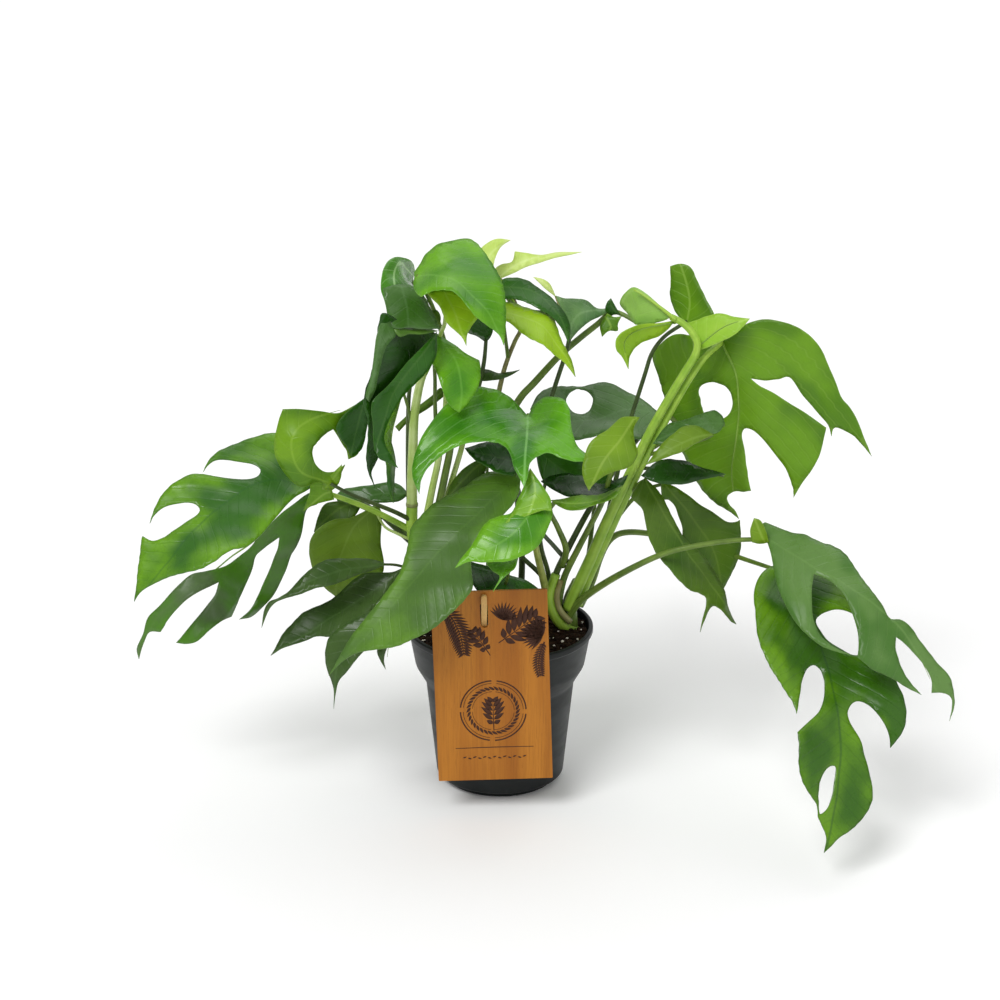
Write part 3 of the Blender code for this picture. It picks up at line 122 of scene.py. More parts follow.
# Pot and soil, as in the frame
POT_TOP = 108.0
RIM_RADIUS = 61.0
RIM_DROP = 4.0
RIM_CHAMFER = 0.6
RIM_TOP_INSET = 1.0
LIP_DROP = 5.0
BAND_TOP_RADIUS = 59.4
BAND_DROP = 26.0
BAND_RADIUS = 55.6
STEP_DROP = 38.0
BODY_TOP_RADIUS = 48.8
BODY_FOOT_RADIUS = 42.0
BODY_FOOT_BEVEL = 1.5
FOOT_HEIGHT = 4.0
FOOT_RADIUS = 36.5
FOOT_INNER_RADIUS = 27.0
HUB_RADIUS = 12.0
POT_WALL = 1.2
POT_FLOOR = 6.0
POT_ROUNDING = 1.6
POT_SIDES = 160
SOIL_TOP = 102.5
SOIL_MOUND = 4.0
SOIL_LUMP = 1.5
SOIL_DEPTH = 12.0
SOIL_RADIUS = BAND_TOP_RADIUS - POT_WALL - 1.0
SOIL_FOOT_SHARE = 0.97
SOIL_RINGS = 46
SOIL_SIDES = 150
SOIL_ROUGHNESS = 0.35

# The lumps on the soil: how many, how far out they reach, their sizes in mm, the share of large ones and how
# much larger they are, how flat they are, and how far they stand up
CRUMBS = {
    "count": 2600,
    "radius": SOIL_RADIUS * 0.985,
    "sizes": (0.45, 1.7),
    "large": (0.12, 1.7),
    "squash": 0.7,
    "proud": 0.25,
}
PERLITE = {
    "count": 150,
    "radius": SOIL_RADIUS * 0.97,
    "sizes": (0.5, 1.5),
    "large": None,
    "squash": 0.85,
    "proud": 0.45,
}

# Label board and its peg, as in the frame
FIT = 0.3
BOARD_WIDTH = 73.5
BOARD_HEIGHT = 132.0
BOARD_THICKNESS = 1.8
BOARD_CORNER = 0.5
BOARD_CENTRE_X = -4.9
BOARD_CENTRE_Z = 90.5
BOARD_TURN = math.radians(-1.9)
BOARD_LEAN = math.radians(1.5)
SLOT_WIDTH = 4.8
SLOT_HEIGHT = 17.5
SLOT_STEPS = 9
STAKE_X = -10.0
STAKE_WIDTH = 3.6
STAKE_THICKNESS = 1.8
STAKE_LENGTH = 100.0
STAKE_POINT = 6.0
STAKE_SHOULDER = 2.0
STAKE_TIP_DROP = 0.4
STAKE_TILT = math.radians(15.5)
STAKE_CROSSING_Z = 140.0
STAKE_PROUD = 15.5

# The board's print, in mm from the board's centre
PRINT_PROUD = 0.08
PRINT_MARGIN = 0.5
PRINT_SLOT_GAP = 0.6
WREATH_CENTRE = np.array([0.0, -17.0])
WREATH_RADIUS = 14.6
WREATH_LEAVES = 34
RULE = ((-25, -43), (0, -42.8), (25, -43))
ROW_HEIGHT = -50.0
ROW_GAP = 3.2
ROW_HALF_COUNT = 6

# How each kind of blade looks from the viewer's side: its colour, a second colour that it drifts to, the
# colour of its veins, how strongly they show, and its roughness
TONES = {
    "bright": ((62, 126, 8), (104, 164, 26), (124, 182, 72), 0.3, 0.27),
    "mid": ((50, 98, 26), (100, 150, 24), (40, 88, 34), 0.4, 0.3),
    # Bright yellow-green: the blades' own green brightened by painted light that shines through them
    "green": ((98, 144, 12), (74, 118, 8), (142, 178, 72), 0.5, 0.4),
    "dark": ((42, 94, 8), (30, 78, 6), (84, 122, 56), 0.25, 0.32),
    "leathery": ((80, 104, 62), (72, 124, 22), (92, 120, 66), 0.16, 0.34),
    # Near-black green for blades that lie under others: their own deep green darkened by painted shade
    "black": ((20, 54, 4), (40, 86, 18), (44, 84, 30), 0.2, 0.28),
    "olive": ((72, 106, 44), (90, 132, 36), (98, 136, 60), 0.2, 0.36),
    "olive_dark": ((74, 108, 12), (58, 92, 8), (112, 142, 52), 0.3, 0.42),
    "olive_light": ((98, 130, 22), (82, 114, 14), (130, 160, 70), 0.3, 0.42),
    "olive_green": ((56, 92, 8), (76, 108, 18), (112, 142, 56), 0.35, 0.4),
    "yellow": ((150, 190, 24), (122, 166, 12), (172, 204, 86), 0.35, 0.38),
    "yellow_deep": ((104, 146, 14), (72, 116, 8), (142, 178, 60), 0.3, 0.38),
    "yellow_dull": ((114, 150, 20), (96, 132, 14), (156, 184, 80), 0.35, 0.4),
    "young": ((206, 226, 130), (188, 214, 100), (222, 236, 164), 0.25, 0.42),
    "young_green": ((160, 200, 64), (140, 186, 50), (190, 220, 116), 0.3, 0.4),
    "young_olive": ((116, 164, 34), (84, 140, 18), (166, 204, 90), 0.4, 0.3),
    "blue": ((114, 152, 86), (70, 112, 60), (132, 168, 112), 0.3, 0.3),
    "blue_dark": ((56, 96, 30), (80, 116, 60), (100, 136, 84), 0.25, 0.28),
    "blue_light": ((144, 188, 84), (116, 166, 60), (170, 206, 116), 0.35, 0.34),
    # Pale veins shown strongly: their own paler colour and painted highlight, the glints along them
    "centre": ((48, 112, 20), (92, 158, 22), (140, 196, 110), 0.5, 0.22),
    "grey_dark": ((46, 74, 22), (64, 90, 38), (84, 114, 62), 0.25, 0.32),
    "green_dull": ((92, 128, 62), (66, 108, 38), (108, 144, 76), 0.35, 0.3),
    "lower": ((50, 94, 10), (94, 140, 16), (30, 70, 24), 0.5, 0.26),
    # Pale veins shown strongly: their own paler colour and painted highlight, the glints along them
    "dome": ((76, 144, 16), (58, 116, 22), (170, 212, 140), 0.6, 0.22),
}

# The colours of stalks and midribs, each with the colour that it drifts to
CANE_TONES = {
    "pale": ((196, 214, 140), (168, 196, 96)),
    "bright": ((160, 196, 70), (134, 176, 52)),
    "ring": ((150, 160, 96), (120, 130, 70)),
    "olive": ((110, 136, 52), (84, 110, 38)),
    "dark": ((52, 70, 28), (72, 92, 40)),
    "grey": ((92, 104, 82), (70, 84, 60)),
    "brown": ((150, 150, 96), (120, 112, 62)),
    "rib": ((134, 172, 66), (112, 152, 48)),
    "straw": ((168, 178, 92), (128, 146, 62)),
}

# The other colours, as they look on a screen
PLASTIC = ((18, 24, 24), (12, 16, 16))
SCUFF = (40, 45, 45)
EARTH = ((26, 17, 11), (58, 38, 24))
PERLITE_WHITE = ((214, 206, 190), (240, 236, 226))
VENEER = ((176, 112, 30), (152, 90, 18))
PEG_WOOD = ((214, 176, 112), (192, 150, 86))
INK = ((52, 28, 18), (74, 42, 26))
FLOOR_WHITE = (252, 252, 252)
UNDERSIDE_GREY = (0.30, 0.42, 0.20, 1.0)


def leaf(rib, sides, edge, tone, holes=(), fold=1.2, stalk_side=-1):
    """One blade, with what differs from a plain one named. A stalk side of 1 is the viewer's side."""
    return {
        "rib": rib,
        "sides": sides,
        "edge": edge,
        "tone": tone,
        "holes": holes,
        "fold": fold,
        "stalk_side": stalk_side,
    }


# Leaves drawn as the viewer sees them. `rib` is the midrib from the stalk to the tip and `sides` hold two or
# more other places, all as (x, y, depth). `edge` goes once round the blade, and a third 1 marks a corner.
LEAVES = {
    "leaf_left_upper": leaf(
        rib=[(312, 487, -8), (262, 482, -26), (205, 520, -50), (135, 602, -75)],
        sides=[(215, 565, -88), (235, 446, -4), (160, 500, -38)],
        edge=[
            (312, 487, 1), (300, 465), (288, 443), (276, 434), (255, 438), (234, 445), (218, 453),
            (208, 463), (203, 474, 1), (211, 464), (223, 461), (240, 463), (253, 466), (260, 472),
            (256, 478), (244, 480), (225, 479), (203, 476, 1), (192, 476), (178, 482), (165, 492),
            (156, 506), (150, 524, 1), (156, 514), (166, 507), (180, 504), (192, 504), (199, 508),
            (199, 514), (190, 521), (178, 529), (165, 538), (154, 542), (144, 537, 1), (141, 555),
            (138, 578), (135, 602, 1), (141, 592), (151, 585), (166, 579), (186, 574), (204, 569),
            (217, 562), (230, 553), (246, 548), (261, 535), (276, 518), (290, 502),
        ],
        tone="mid",
    ),
    "leaf_left_lower": leaf(
        rib=[(326, 492, 18), (266, 533, 14), (214, 571, 4), (160, 615, -8), (138, 659, -14)],
        sides=[(225, 620, -22), (250, 600, 30), (178, 643, -30)],
        edge=[
            (326, 492, 1), (308, 493), (290, 505), (272, 522), (258, 538), (245, 552), (228, 565),
            (206, 571), (190, 575), (174, 590), (160, 606), (149, 618), (143, 634), (137, 648),
            (139, 659, 1), (144, 642), (149, 632), (160, 632, 1), (168, 620), (182, 604), (200, 592),
            (219, 582, 1), (213, 597), (205, 609), (195, 622), (178, 643, 1), (188, 644), (198, 641),
            (210, 630), (222, 621), (231, 617, 1), (236, 602), (244, 583), (252, 566), (256, 554),
            (266, 544), (279, 536, 1), (275, 554), (266, 575), (258, 594), (250, 609), (238, 620, 1),
            (250, 618), (262, 608), (274, 594), (284, 573), (292, 553), (300, 537), (304, 520), (308, 508),
            (318, 503),
        ],
        tone="leathery",
    ),
    "leaf_left_curled": leaf(
        rib=[(331, 484, -44), (300, 470, -54), (292, 440, -56), (310, 420, -48), (364, 404, -28)],
        sides=[(278, 440, -50), (348, 450, -34), (322, 462, -52)],
        edge=[
            (283, 409, 1), (300, 409), (320, 411), (338, 413), (352, 406), (364, 398, 1), (367, 415),
            (364, 432), (361, 446), (355, 455), (347, 459, 1), (345, 450), (339, 440), (332, 429, 1),
            (323, 435), (315, 443), (312, 452), (315, 463), (323, 471), (333, 471), (343, 464, 1),
            (339, 475), (331, 485, 1), (318, 483), (305, 486), (296, 484), (287, 475), (279, 463),
            (275, 448), (276, 434), (279, 420),
        ],
        tone="yellow_deep",
    ),
    "leaf_left_hanging": leaf(
        rib=[(433, 339, -20), (408, 352, -40), (386, 400, -54), (374, 487, -62)],
        sides=[(376, 350, -56), (415, 378, -40), (366, 440, -64)],
        edge=[
            (437, 334, 1), (433, 345), (427, 357), (418, 370), (408, 382), (396, 396), (388, 410),
            (383, 425), (380, 440), (379, 455), (375, 464), (371, 473), (374, 488, 1), (368, 472),
            (365, 456), (367, 440), (366, 420), (363, 405), (365, 390), (370, 375), (374, 360), (375, 340),
            (377, 325), (382, 313), (390, 316), (402, 325), (418, 328), (430, 331),
        ],
        tone="black",
    ),
    "leaf_left_strip": leaf(
        rib=[(404, 392, -8), (394, 425, -20), (391, 465, -26), (393, 503, -30)],
        sides=[(384, 440, -26), (398, 455, -17)],
        edge=[
            (404, 390, 1), (399, 405), (394, 420), (391, 435), (393, 450), (396, 464), (395, 480),
            (393, 503, 1), (388, 490), (386, 476), (384, 462), (380, 450), (380, 438), (384, 424),
            (390, 410), (397, 398),
        ],
        tone="mid",
    ),
    "leaf_top_dome": leaf(
        rib=[(412, 276, 36), (399, 262, 8), (394, 285, -22), (408, 326, -30)],
        sides=[(424, 305, -14), (383, 285, -12), (390, 310, -26)],
        edge=[
            (397, 257), (406, 259), (412, 265), (414, 274), (412, 284), (416, 293), (424, 300), (430, 312),
            (437, 330, 1), (424, 327), (410, 326), (399, 326), (390, 322), (386, 312), (384, 301),
            (381, 291), (381, 280), (384, 268), (389, 260),
        ],
        tone="dome",
    ),
    "leaf_top_heart": leaf(
        rib=[(417, 275, -24), (455, 281, -52), (486, 310, -66), (503, 346, -74)],
        sides=[(455, 243, -10), (440, 291, -62), (503, 290, -44)],
        edge=[
            (414, 272, 1), (421, 264), (429, 255), (439, 247), (451, 242), (463, 240), (473, 243),
            (481, 250), (488, 260), (494, 270), (499, 280), (503, 292), (505, 306), (505, 322),
            (503, 346, 1), (499, 336), (493, 330), (485, 325), (475, 317), (463, 303), (454, 294),
            (443, 291), (432, 292), (421, 297), (414, 288),
        ],
        tone="bright",
    ),
    "leaf_under_heart": leaf(
        rib=[(446, 296, -34), (456, 315, -40), (466, 346, -46)],
        sides=[(482, 311, -32), (430, 296, -38)],
        edge=[
            (426, 293, 1), (433, 300), (440, 307), (443, 315), (447, 323), (455, 330), (462, 337),
            (466, 346, 1), (467, 335), (472, 325), (478, 317), (483, 310), (477, 302), (465, 296),
            (452, 291), (438, 290),
        ],
        tone="yellow",
    ),
    "leaf_young_spear": leaf(
        rib=[(499, 277, 30), (520, 263, 34), (545, 255, 35), (581, 252, 35)],
        sides=[(516, 252, 38), (536, 265, 30)],
        edge=[
            (499, 279, 1), (495, 270), (501, 265), (512, 262), (515, 252, 1), (525, 253), (542, 255),
            (560, 252), (582, 252, 1), (565, 256), (545, 261), (528, 266), (514, 273),
        ],
        tone="young",
    ),
    "leaf_young_tip": leaf(
        rib=[(494, 270, 18), (490, 255, 22), (511, 239, 25)],
        sides=[(482, 247, 24), (497, 256, 20)],
        edge=[
            (493, 270, 1), (485, 259), (480, 251), (486, 244), (497, 239), (511, 240, 1), (501, 247),
            (496, 257),
        ],
        tone="young",
    ),
    "leaf_dark_arch": leaf(
        rib=[(500, 287, 19), (530, 290, 10), (558, 315, 0), (569, 343, -8)],
        sides=[(540, 291, 16), (532, 305, 0)],
        edge=[
            (500, 282, 1), (508, 279), (518, 279), (528, 282), (538, 289), (548, 295), (557, 303),
            (565, 314), (570, 328), (569, 343, 1), (564, 333), (557, 323), (549, 316), (538, 311),
            (528, 304), (517, 300), (500, 299, 1),
        ],
        tone="dark",
    ),
    "leaf_yellow_arch": leaf(
        rib=[(503, 313, 0), (540, 325, -12), (563, 352, -18), (574, 376, -22)],
        sides=[(552, 320, 0), (535, 340, -25)],
        edge=[
            (502, 304, 1), (512, 303), (522, 307), (533, 311), (543, 313), (551, 317), (556, 326),
            (561, 338), (567, 351), (572, 363), (575, 377, 1), (568, 368), (561, 360), (551, 353),
            (541, 346), (529, 339), (518, 331), (508, 323), (502, 321, 1),
        ],
        tone="yellow",
    ),
    "leaf_blue_back": leaf(
        rib=[(610, 311, 45), (590, 311, 32), (575, 318, 20), (569, 341, 8)],
        sides=[(560, 299, 20), (585, 301, 42)],
        edge=[
            (554, 297, 1), (564, 299), (575, 299), (586, 302), (597, 309), (612, 309, 1), (601, 316),
            (589, 322), (578, 331), (569, 342, 1), (570, 330), (566, 317), (559, 306),
        ],
        tone="blue",
    ),
    "leaf_bud": leaf(
        rib=[(556, 296, 30), (546, 286, 30), (534, 277, 30)],
        sides=[(543, 290, 28), (549, 283, 32)],
        edge=[(556, 297, 1), (552, 289), (548, 283), (541, 279), (533, 277, 1), (539, 283), (546, 290)],
        tone="young",
    ),
    "leaf_new_blue": leaf(
        rib=[(669, 317, -20), (652, 301, -15), (634, 290, -8), (621, 303, 0)],
        sides=[(642, 324, -14), (630, 314, -4)],
        edge=[
            (670, 317, 1), (666, 320), (655, 323), (645, 325), (637, 324), (630, 316), (622, 309),
            (619, 304), (621, 298), (626, 292), (633, 287), (641, 290), (651, 297), (661, 306),
        ],
        tone="blue_light",
    ),
    "leaf_new_light": leaf(
        rib=[(698, 347, -22), (720, 329, -25), (750, 319, -27)],
        sides=[(700, 321, -16), (722, 341, -31)],
        edge=[
            (700, 350, 1), (693, 337), (684, 326), (697, 321), (711, 316), (722, 314), (734, 317),
            (750, 319, 1), (743, 328), (735, 335), (722, 341), (711, 346),
        ],
        stalk_side=1,
        tone="young_green",
    ),
    "leaf_new_curled": leaf(
        rib=[(674, 322, -18), (645, 328, -28), (624, 342, -34), (628, 368, -38)],
        sides=[(645, 338, -26), (630, 329, -40)],
        edge=[
            (674, 320, 1), (660, 323), (645, 324), (632, 328), (622, 333), (616, 341), (616, 350),
            (622, 358), (628, 369, 1), (629, 358), (633, 350), (638, 344), (646, 340), (657, 336),
            (668, 329),
        ],
        stalk_side=1,
        tone="yellow",
    ),
    "leaf_upright": leaf(
        rib=[(687, 321, 2), (690, 298, 6), (681, 265, 12)],
        sides=[(672, 300, 12), (706, 300, 0)],
        edge=[
            (671, 266, 1), (677, 264), (684, 264), (691, 268), (696, 278), (702, 290), (708, 302),
            (715, 315), (706, 322), (696, 325), (684, 324, 1), (679, 317), (675, 310), (671, 296),
            (672, 282),
        ],
        tone="green",
    ),
    "leaf_right_big": leaf(
        rib=[(722, 342, -8), (737, 375, -14), (738, 425, -10), (732, 480, -2), (739, 519, 4)],
        sides=[(660, 360, 26), (690, 460, 18), (830, 380, -24), (800, 470, -20), (870, 450, -40)],
        edge=[
            (722, 341, 1), (735, 332), (748, 323), (765, 319), (782, 321), (798, 327), (812, 337),
            (822, 350), (828, 364), (836, 382), (842, 397), (851, 408), (859, 424), (866, 441),
            (872, 456, 1), (861, 443), (852, 434), (836, 427), (832, 436, 1), (829, 424), (817, 411),
            (803, 395), (790, 377), (778, 379), (765, 380), (751, 378, 1), (761, 386), (776, 394),
            (795, 406), (812, 417), (827, 427, 1), (824, 440), (820, 455), (812, 470), (803, 482),
            (794, 497, 1), (793, 486), (788, 470), (779, 458), (768, 444), (757, 432), (750, 428),
            (744, 429), (742, 437), (745, 450), (747, 465), (749, 480), (752, 489, 1), (744, 491),
            (734, 492), (727, 497), (729, 504), (735, 511), (739, 519, 1), (727, 509), (715, 501),
            (704, 488), (694, 472), (686, 456), (680, 440), (674, 420), (667, 398), (660, 376), (654, 356),
            (661, 344), (676, 334), (700, 336),
        ],
        holes=[
            [
                (700, 389), (706, 383), (716, 382), (727, 387), (732, 396), (732, 407), (727, 416),
                (716, 420), (706, 411), (702, 400),
            ],
        ],
        stalk_side=1,
        tone="green",
    ),
    "leaf_centre_split": leaf(
        rib=[(528, 414, -14), (527, 436, -52), (525, 460, -74), (524, 486, -88)],
        sides=[(585, 452, -62), (430, 440, -48), (480, 395, -18), (552, 402, -22), (418, 488, -66)],
        edge=[
            (528, 416, 1), (516, 404), (504, 395), (491, 390), (477, 388), (465, 392), (455, 399),
            (445, 408), (436, 418), (428, 429), (421, 441), (416, 454), (413, 468), (414, 481),
            (420, 495, 1), (421, 484), (426, 472), (436, 461), (450, 451), (465, 446), (480, 443),
            (495, 443), (506, 448), (511, 457), (514, 468), (519, 477), (524, 487, 1), (528, 475),
            (530, 463), (538, 457), (550, 454), (561, 459), (577, 463), (599, 463, 1), (587, 456),
            (578, 447), (573, 436), (571, 423), (570, 411), (565, 402), (556, 398), (547, 398), (539, 402),
            (533, 408),
        ],
        tone="centre",
    ),
    "leaf_front_olive": leaf(
        rib=[(516, 479, -22), (476, 515, -46), (430, 562, -64), (380, 620, -78), (330, 676, -86)],
        sides=[(412, 530, -44), (466, 592, -88), (345, 640, -78)],
        edge=[
            (521, 477, 1), (510, 473), (498, 473), (487, 474), (477, 479), (466, 487), (453, 495),
            (440, 502), (430, 508), (420, 517), (412, 527), (409, 540), (407, 553), (402, 568), (394, 582),
            (385, 595), (375, 608), (364, 622), (352, 635), (343, 650), (336, 662), (329, 676, 1),
            (338, 665), (347, 658), (358, 653), (371, 651), (386, 649), (400, 646), (413, 640), (426, 634),
            (439, 625), (451, 614), (463, 602), (472, 592), (474, 585), (472, 572), (472, 558), (478, 542),
            (490, 528), (503, 516), (513, 505), (519, 492),
        ],
        tone="olive",
    ),
    "leaf_front_small": leaf(
        rib=[(527, 480, -56), (534, 505, -84), (512, 535, -96), (484, 552, -100), (455, 567, -104)],
        sides=[(548, 525, -88), (487, 522, -86)],
        edge=[
            (527, 478, 1), (533, 488), (543, 500), (551, 510), (551, 518), (547, 530), (540, 544),
            (530, 553), (519, 558), (507, 562), (494, 562), (481, 562), (469, 561), (455, 568, 1),
            (462, 557), (471, 547), (478, 537), (482, 529), (489, 521), (500, 517), (511, 514), (517, 504),
            (522, 491),
        ],
        tone="bright",
    ),
    "leaf_front_lobe": leaf(
        rib=[(512, 556, -80), (506, 568, -92), (493, 592, -104)],
        sides=[(517, 566, -92), (492, 566, -88)],
        edge=[
            (484, 558, 1), (500, 556), (519, 556, 1), (516, 568), (509, 574), (503, 579), (493, 592, 1),
            (500, 577), (493, 572), (488, 566),
        ],
        tone="bright",
    ),
    "leaf_front_dark": leaf(
        rib=[(470, 566, -20), (500, 576, -28), (541, 590, -34)],
        sides=[(490, 588, -36), (500, 569, -22)],
        edge=[
            (466, 560, 1), (480, 564), (496, 570), (511, 576), (526, 581), (541, 590, 1), (525, 597),
            (505, 600), (485, 597), (472, 584),
        ],
        tone="black",
    ),
    "leaf_dark_hole": leaf(
        rib=[(660, 416, 48), (628, 410, 44), (590, 420, 32), (545, 424, 24)],
        sides=[(600, 385, 62), (600, 438, 14)],
        edge=[
            (662, 415, 1), (651, 408), (639, 399), (627, 393), (613, 386), (600, 384), (586, 387),
            (571, 388), (556, 388), (545, 391), (536, 398), (530, 410, 1), (542, 424), (556, 436),
            (570, 441), (584, 440), (598, 437), (614, 437), (630, 441), (642, 440), (652, 430),
        ],
        holes=[
            [
                (566, 402), (569, 395), (577, 391), (586, 393), (592, 399), (592, 406), (588, 412),
                (579, 415), (571, 412),
            ],
        ],
        tone="blue_dark",
    ),
    "leaf_yellow_right": leaf(
        rib=[(633, 420, -50), (620, 440, -64), (603, 462, -72), (589, 491, -78)],
        sides=[(634, 455, -64), (586, 450, -68)],
        edge=[
            (640, 417, 1), (634, 428), (634, 442), (637, 454), (632, 464), (624, 469), (612, 472),
            (601, 478), (593, 485), (589, 491, 1), (584, 481), (582, 470), (584, 459), (588, 446),
            (596, 437), (606, 431), (614, 424), (622, 418),
        ],
        tone="yellow_dull",
    ),
    "leaf_light_right": leaf(
        rib=[(713, 434, -54), (690, 440, -62), (668, 451, -68), (647, 464, -72)],
        sides=[(683, 428, -56), (683, 453, -70)],
        edge=[
            (714, 435, 1), (705, 430), (695, 427), (683, 428), (674, 434), (665, 441), (657, 450),
            (646, 464, 1), (659, 460), (671, 456), (683, 452), (693, 445), (703, 440),
        ],
        tone="olive_light",
    ),
    "leaf_dark_spear": leaf(
        rib=[(724, 475, -34), (695, 473, -40), (668, 471, -46), (643, 475, -50)],
        sides=[(684, 484, -48), (684, 463, -34)],
        edge=[
            (725, 475, 1), (711, 470), (699, 467), (688, 463), (677, 461), (665, 460), (655, 463),
            (641, 476, 1), (650, 481), (660, 484), (672, 485), (685, 484), (697, 481), (711, 478),
        ],
        tone="black",
    ),
    "leaf_dark_lobe": leaf(
        rib=[(725, 424, -32), (702, 424, -38), (678, 432, -42), (655, 442, -46)],
        sides=[(697, 434, -46), (700, 412, -28)],
        edge=[
            (725, 424, 1), (722, 416), (714, 411), (706, 413), (697, 417), (684, 421), (670, 424),
            (660, 434), (653, 444, 1), (665, 445), (678, 442), (692, 436), (706, 435), (718, 433),
        ],
        tone="blue_dark",
    ),
    "leaf_lower_split": leaf(
        rib=[(646, 480, -26), (662, 512, -34), (692, 558, -40), (718, 596, -44), (737, 623, -46)],
        sides=[(650, 545, -48), (710, 566, -28)],
        edge=[
            (646, 477, 1), (638, 484), (632, 492), (630, 499), (637, 504), (643, 511), (645, 522),
            (647, 533), (651, 545), (657, 556), (665, 566), (672, 575), (680, 584), (690, 591), (700, 594),
            (706, 598), (706, 606), (703, 615), (698, 633, 1), (703, 622), (708, 612), (713, 606),
            (719, 609), (725, 615), (731, 621), (737, 624, 1), (732, 615), (727, 605), (724, 595),
            (719, 583), (711, 568), (701, 554), (690, 543), (681, 534), (673, 520), (667, 508), (662, 498),
            (655, 487),
        ],
        tone="olive_green",
    ),
    "leaf_lower_round": leaf(
        rib=[(664, 484, -6), (690, 515, -8), (714, 552, -12), (722, 592, -16)],
        sides=[(740, 545, -6), (690, 545, -20)],
        edge=[
            (660, 483, 1), (672, 485), (682, 491), (691, 498), (701, 506), (711, 512), (719, 518),
            (727, 522), (735, 522), (739, 520, 1), (740, 535), (740, 549), (737, 561), (733, 570),
            (728, 580), (722, 592, 1), (713, 580), (704, 564), (694, 551), (683, 539), (682, 528),
            (678, 515), (674, 505), (668, 500), (661, 499),
        ],
        tone="olive_dark",
    ),
    "leaf_right_upper": leaf(
        rib=[(767, 539, -46), (812, 566, -72), (856, 592, -88), (905, 634, -104), (950, 718, -118)],
        sides=[(795, 610, -96), (885, 665, -118), (840, 551, -60)],
        edge=[
            (766, 539, 1), (763, 530), (764, 523), (776, 527), (790, 532), (806, 536), (820, 543),
            (835, 549), (845, 555), (854, 567), (863, 580), (873, 593), (883, 606), (890, 618), (900, 620),
            (911, 628), (920, 641), (930, 654), (940, 666), (948, 676), (952, 690), (954, 706),
            (950, 721, 1), (952, 707), (950, 697), (942, 693), (932, 693, 1), (932, 681), (926, 669),
            (916, 656), (906, 645), (896, 637, 1), (895, 650), (899, 664), (905, 676), (912, 686),
            (921, 695, 1), (908, 689), (896, 681), (884, 675), (871, 669), (857, 658, 1), (858, 645),
            (857, 631), (852, 614), (846, 600), (837, 588), (826, 578), (814, 573, 1), (812, 588),
            (812, 605), (814, 622), (822, 638), (836, 649), (852, 656, 1), (835, 652), (820, 646),
            (806, 635), (795, 622), (785, 605), (778, 588), (774, 570), (771, 555),
        ],
        tone="green_dull",
    ),
    "leaf_right_lower": leaf(
        rib=[
            (773, 568, -44), (805, 610, -74), (828, 670, -100), (840, 735, -128), (836, 800, -150),
            (825, 852, -166),
        ],
        sides=[(760, 640, -104), (890, 700, -112), (800, 750, -146), (866, 790, -140)],
        edge=[
            (773, 566, 1), (764, 571), (757, 581), (753, 597), (755, 614), (757, 634), (761, 650),
            (768, 665), (776, 679), (785, 691), (792, 702), (796, 714, 1), (798, 702), (800, 688),
            (803, 676), (808, 668), (815, 665), (821, 671), (824, 684), (823, 699), (818, 712), (808, 722),
            (796, 733, 1), (797, 747), (798, 765), (801, 780), (808, 793), (815, 805), (817, 816),
            (822, 826), (826, 838), (824, 853, 1), (831, 846), (838, 838), (850, 830), (861, 819),
            (869, 806), (872, 793), (869, 775), (864, 756), (860, 742), (854, 730), (849, 720), (848, 711),
            (853, 703), (861, 702), (870, 707), (878, 716), (885, 726), (889, 736), (890, 748, 1),
            (898, 738), (904, 727), (906, 712), (903, 698), (896, 682), (889, 664), (880, 640), (866, 612),
            (846, 588), (822, 572), (796, 564),
        ],
        holes=[
            [
                (836, 768), (831, 766), (825, 770), (820, 778), (817, 792), (817, 806), (819, 814),
                (826, 809), (831, 797), (834, 783),
            ],
            [
                (816, 622), (822, 614), (834, 611), (848, 613), (859, 621), (866, 636), (863, 652),
                (852, 656), (838, 649), (825, 638),
            ],
        ],
        tone="lower",
    ),
    "leaf_left_round": leaf(
        rib=[(374, 507, 8), (352, 530, 2), (338, 565, 0), (336, 598, 2)],
        sides=[(382, 555, 6), (311, 548, -8)],
        edge=[
            (376, 504, 1), (381, 511), (381, 525), (380, 541), (383, 558), (382, 572), (370, 582),
            (353, 591), (337, 598, 1), (325, 588), (315, 575), (310, 561), (309, 548), (312, 535),
            (320, 526), (334, 519), (350, 518), (363, 512),
        ],
        tone="olive_light",
    ),
    "leaf_left_under": leaf(
        rib=[(362, 502, 21), (340, 508, 20), (315, 530, 19)],
        sides=[(325, 505, 22), (340, 520, 17)],
        edge=[
            (364, 500, 1), (352, 500), (338, 501), (325, 504), (319, 515), (314, 532, 1), (326, 530),
            (342, 526), (355, 516),
        ],
        tone="olive_dark",
    ),
    "leaf_left_spear": leaf(
        rib=[(384, 564, -15), (345, 570, -26), (305, 584, -36), (276, 600, -44), (262, 627, -48)],
        sides=[(320, 589, -42), (335, 559, -22)],
        edge=[
            (386, 564, 1), (376, 560), (361, 558), (346, 559), (331, 560), (319, 564), (309, 571),
            (298, 581), (287, 592), (278, 598), (269, 602), (264, 612), (262, 628, 1), (268, 612),
            (275, 603), (286, 598), (300, 594), (315, 589), (330, 586), (346, 580), (361, 574), (375, 569),
        ],
        tone="grey_dark",
    ),
    "leaf_low_spear": leaf(
        rib=[(402, 569, -5), (360, 600, -16), (315, 628, -26), (271, 655, -32)],
        sides=[(345, 632, -34), (350, 583, -8)],
        edge=[
            (404, 567, 1), (393, 572), (380, 573), (367, 574), (357, 578), (348, 585), (339, 594),
            (329, 601), (317, 607), (304, 614), (293, 624), (283, 635), (271, 656, 1), (281, 649),
            (292, 645), (304, 641), (316, 636), (330, 637), (345, 632), (358, 625), (368, 616), (378, 603),
            (389, 588),
        ],
        tone="grey_dark",
    ),
    "leaf_low_fold": leaf(
        rib=[(396, 600, -45), (360, 628, -56), (338, 665, -62), (334, 709, -68)],
        sides=[(370, 640, -62), (328, 645, -54)],
        edge=[
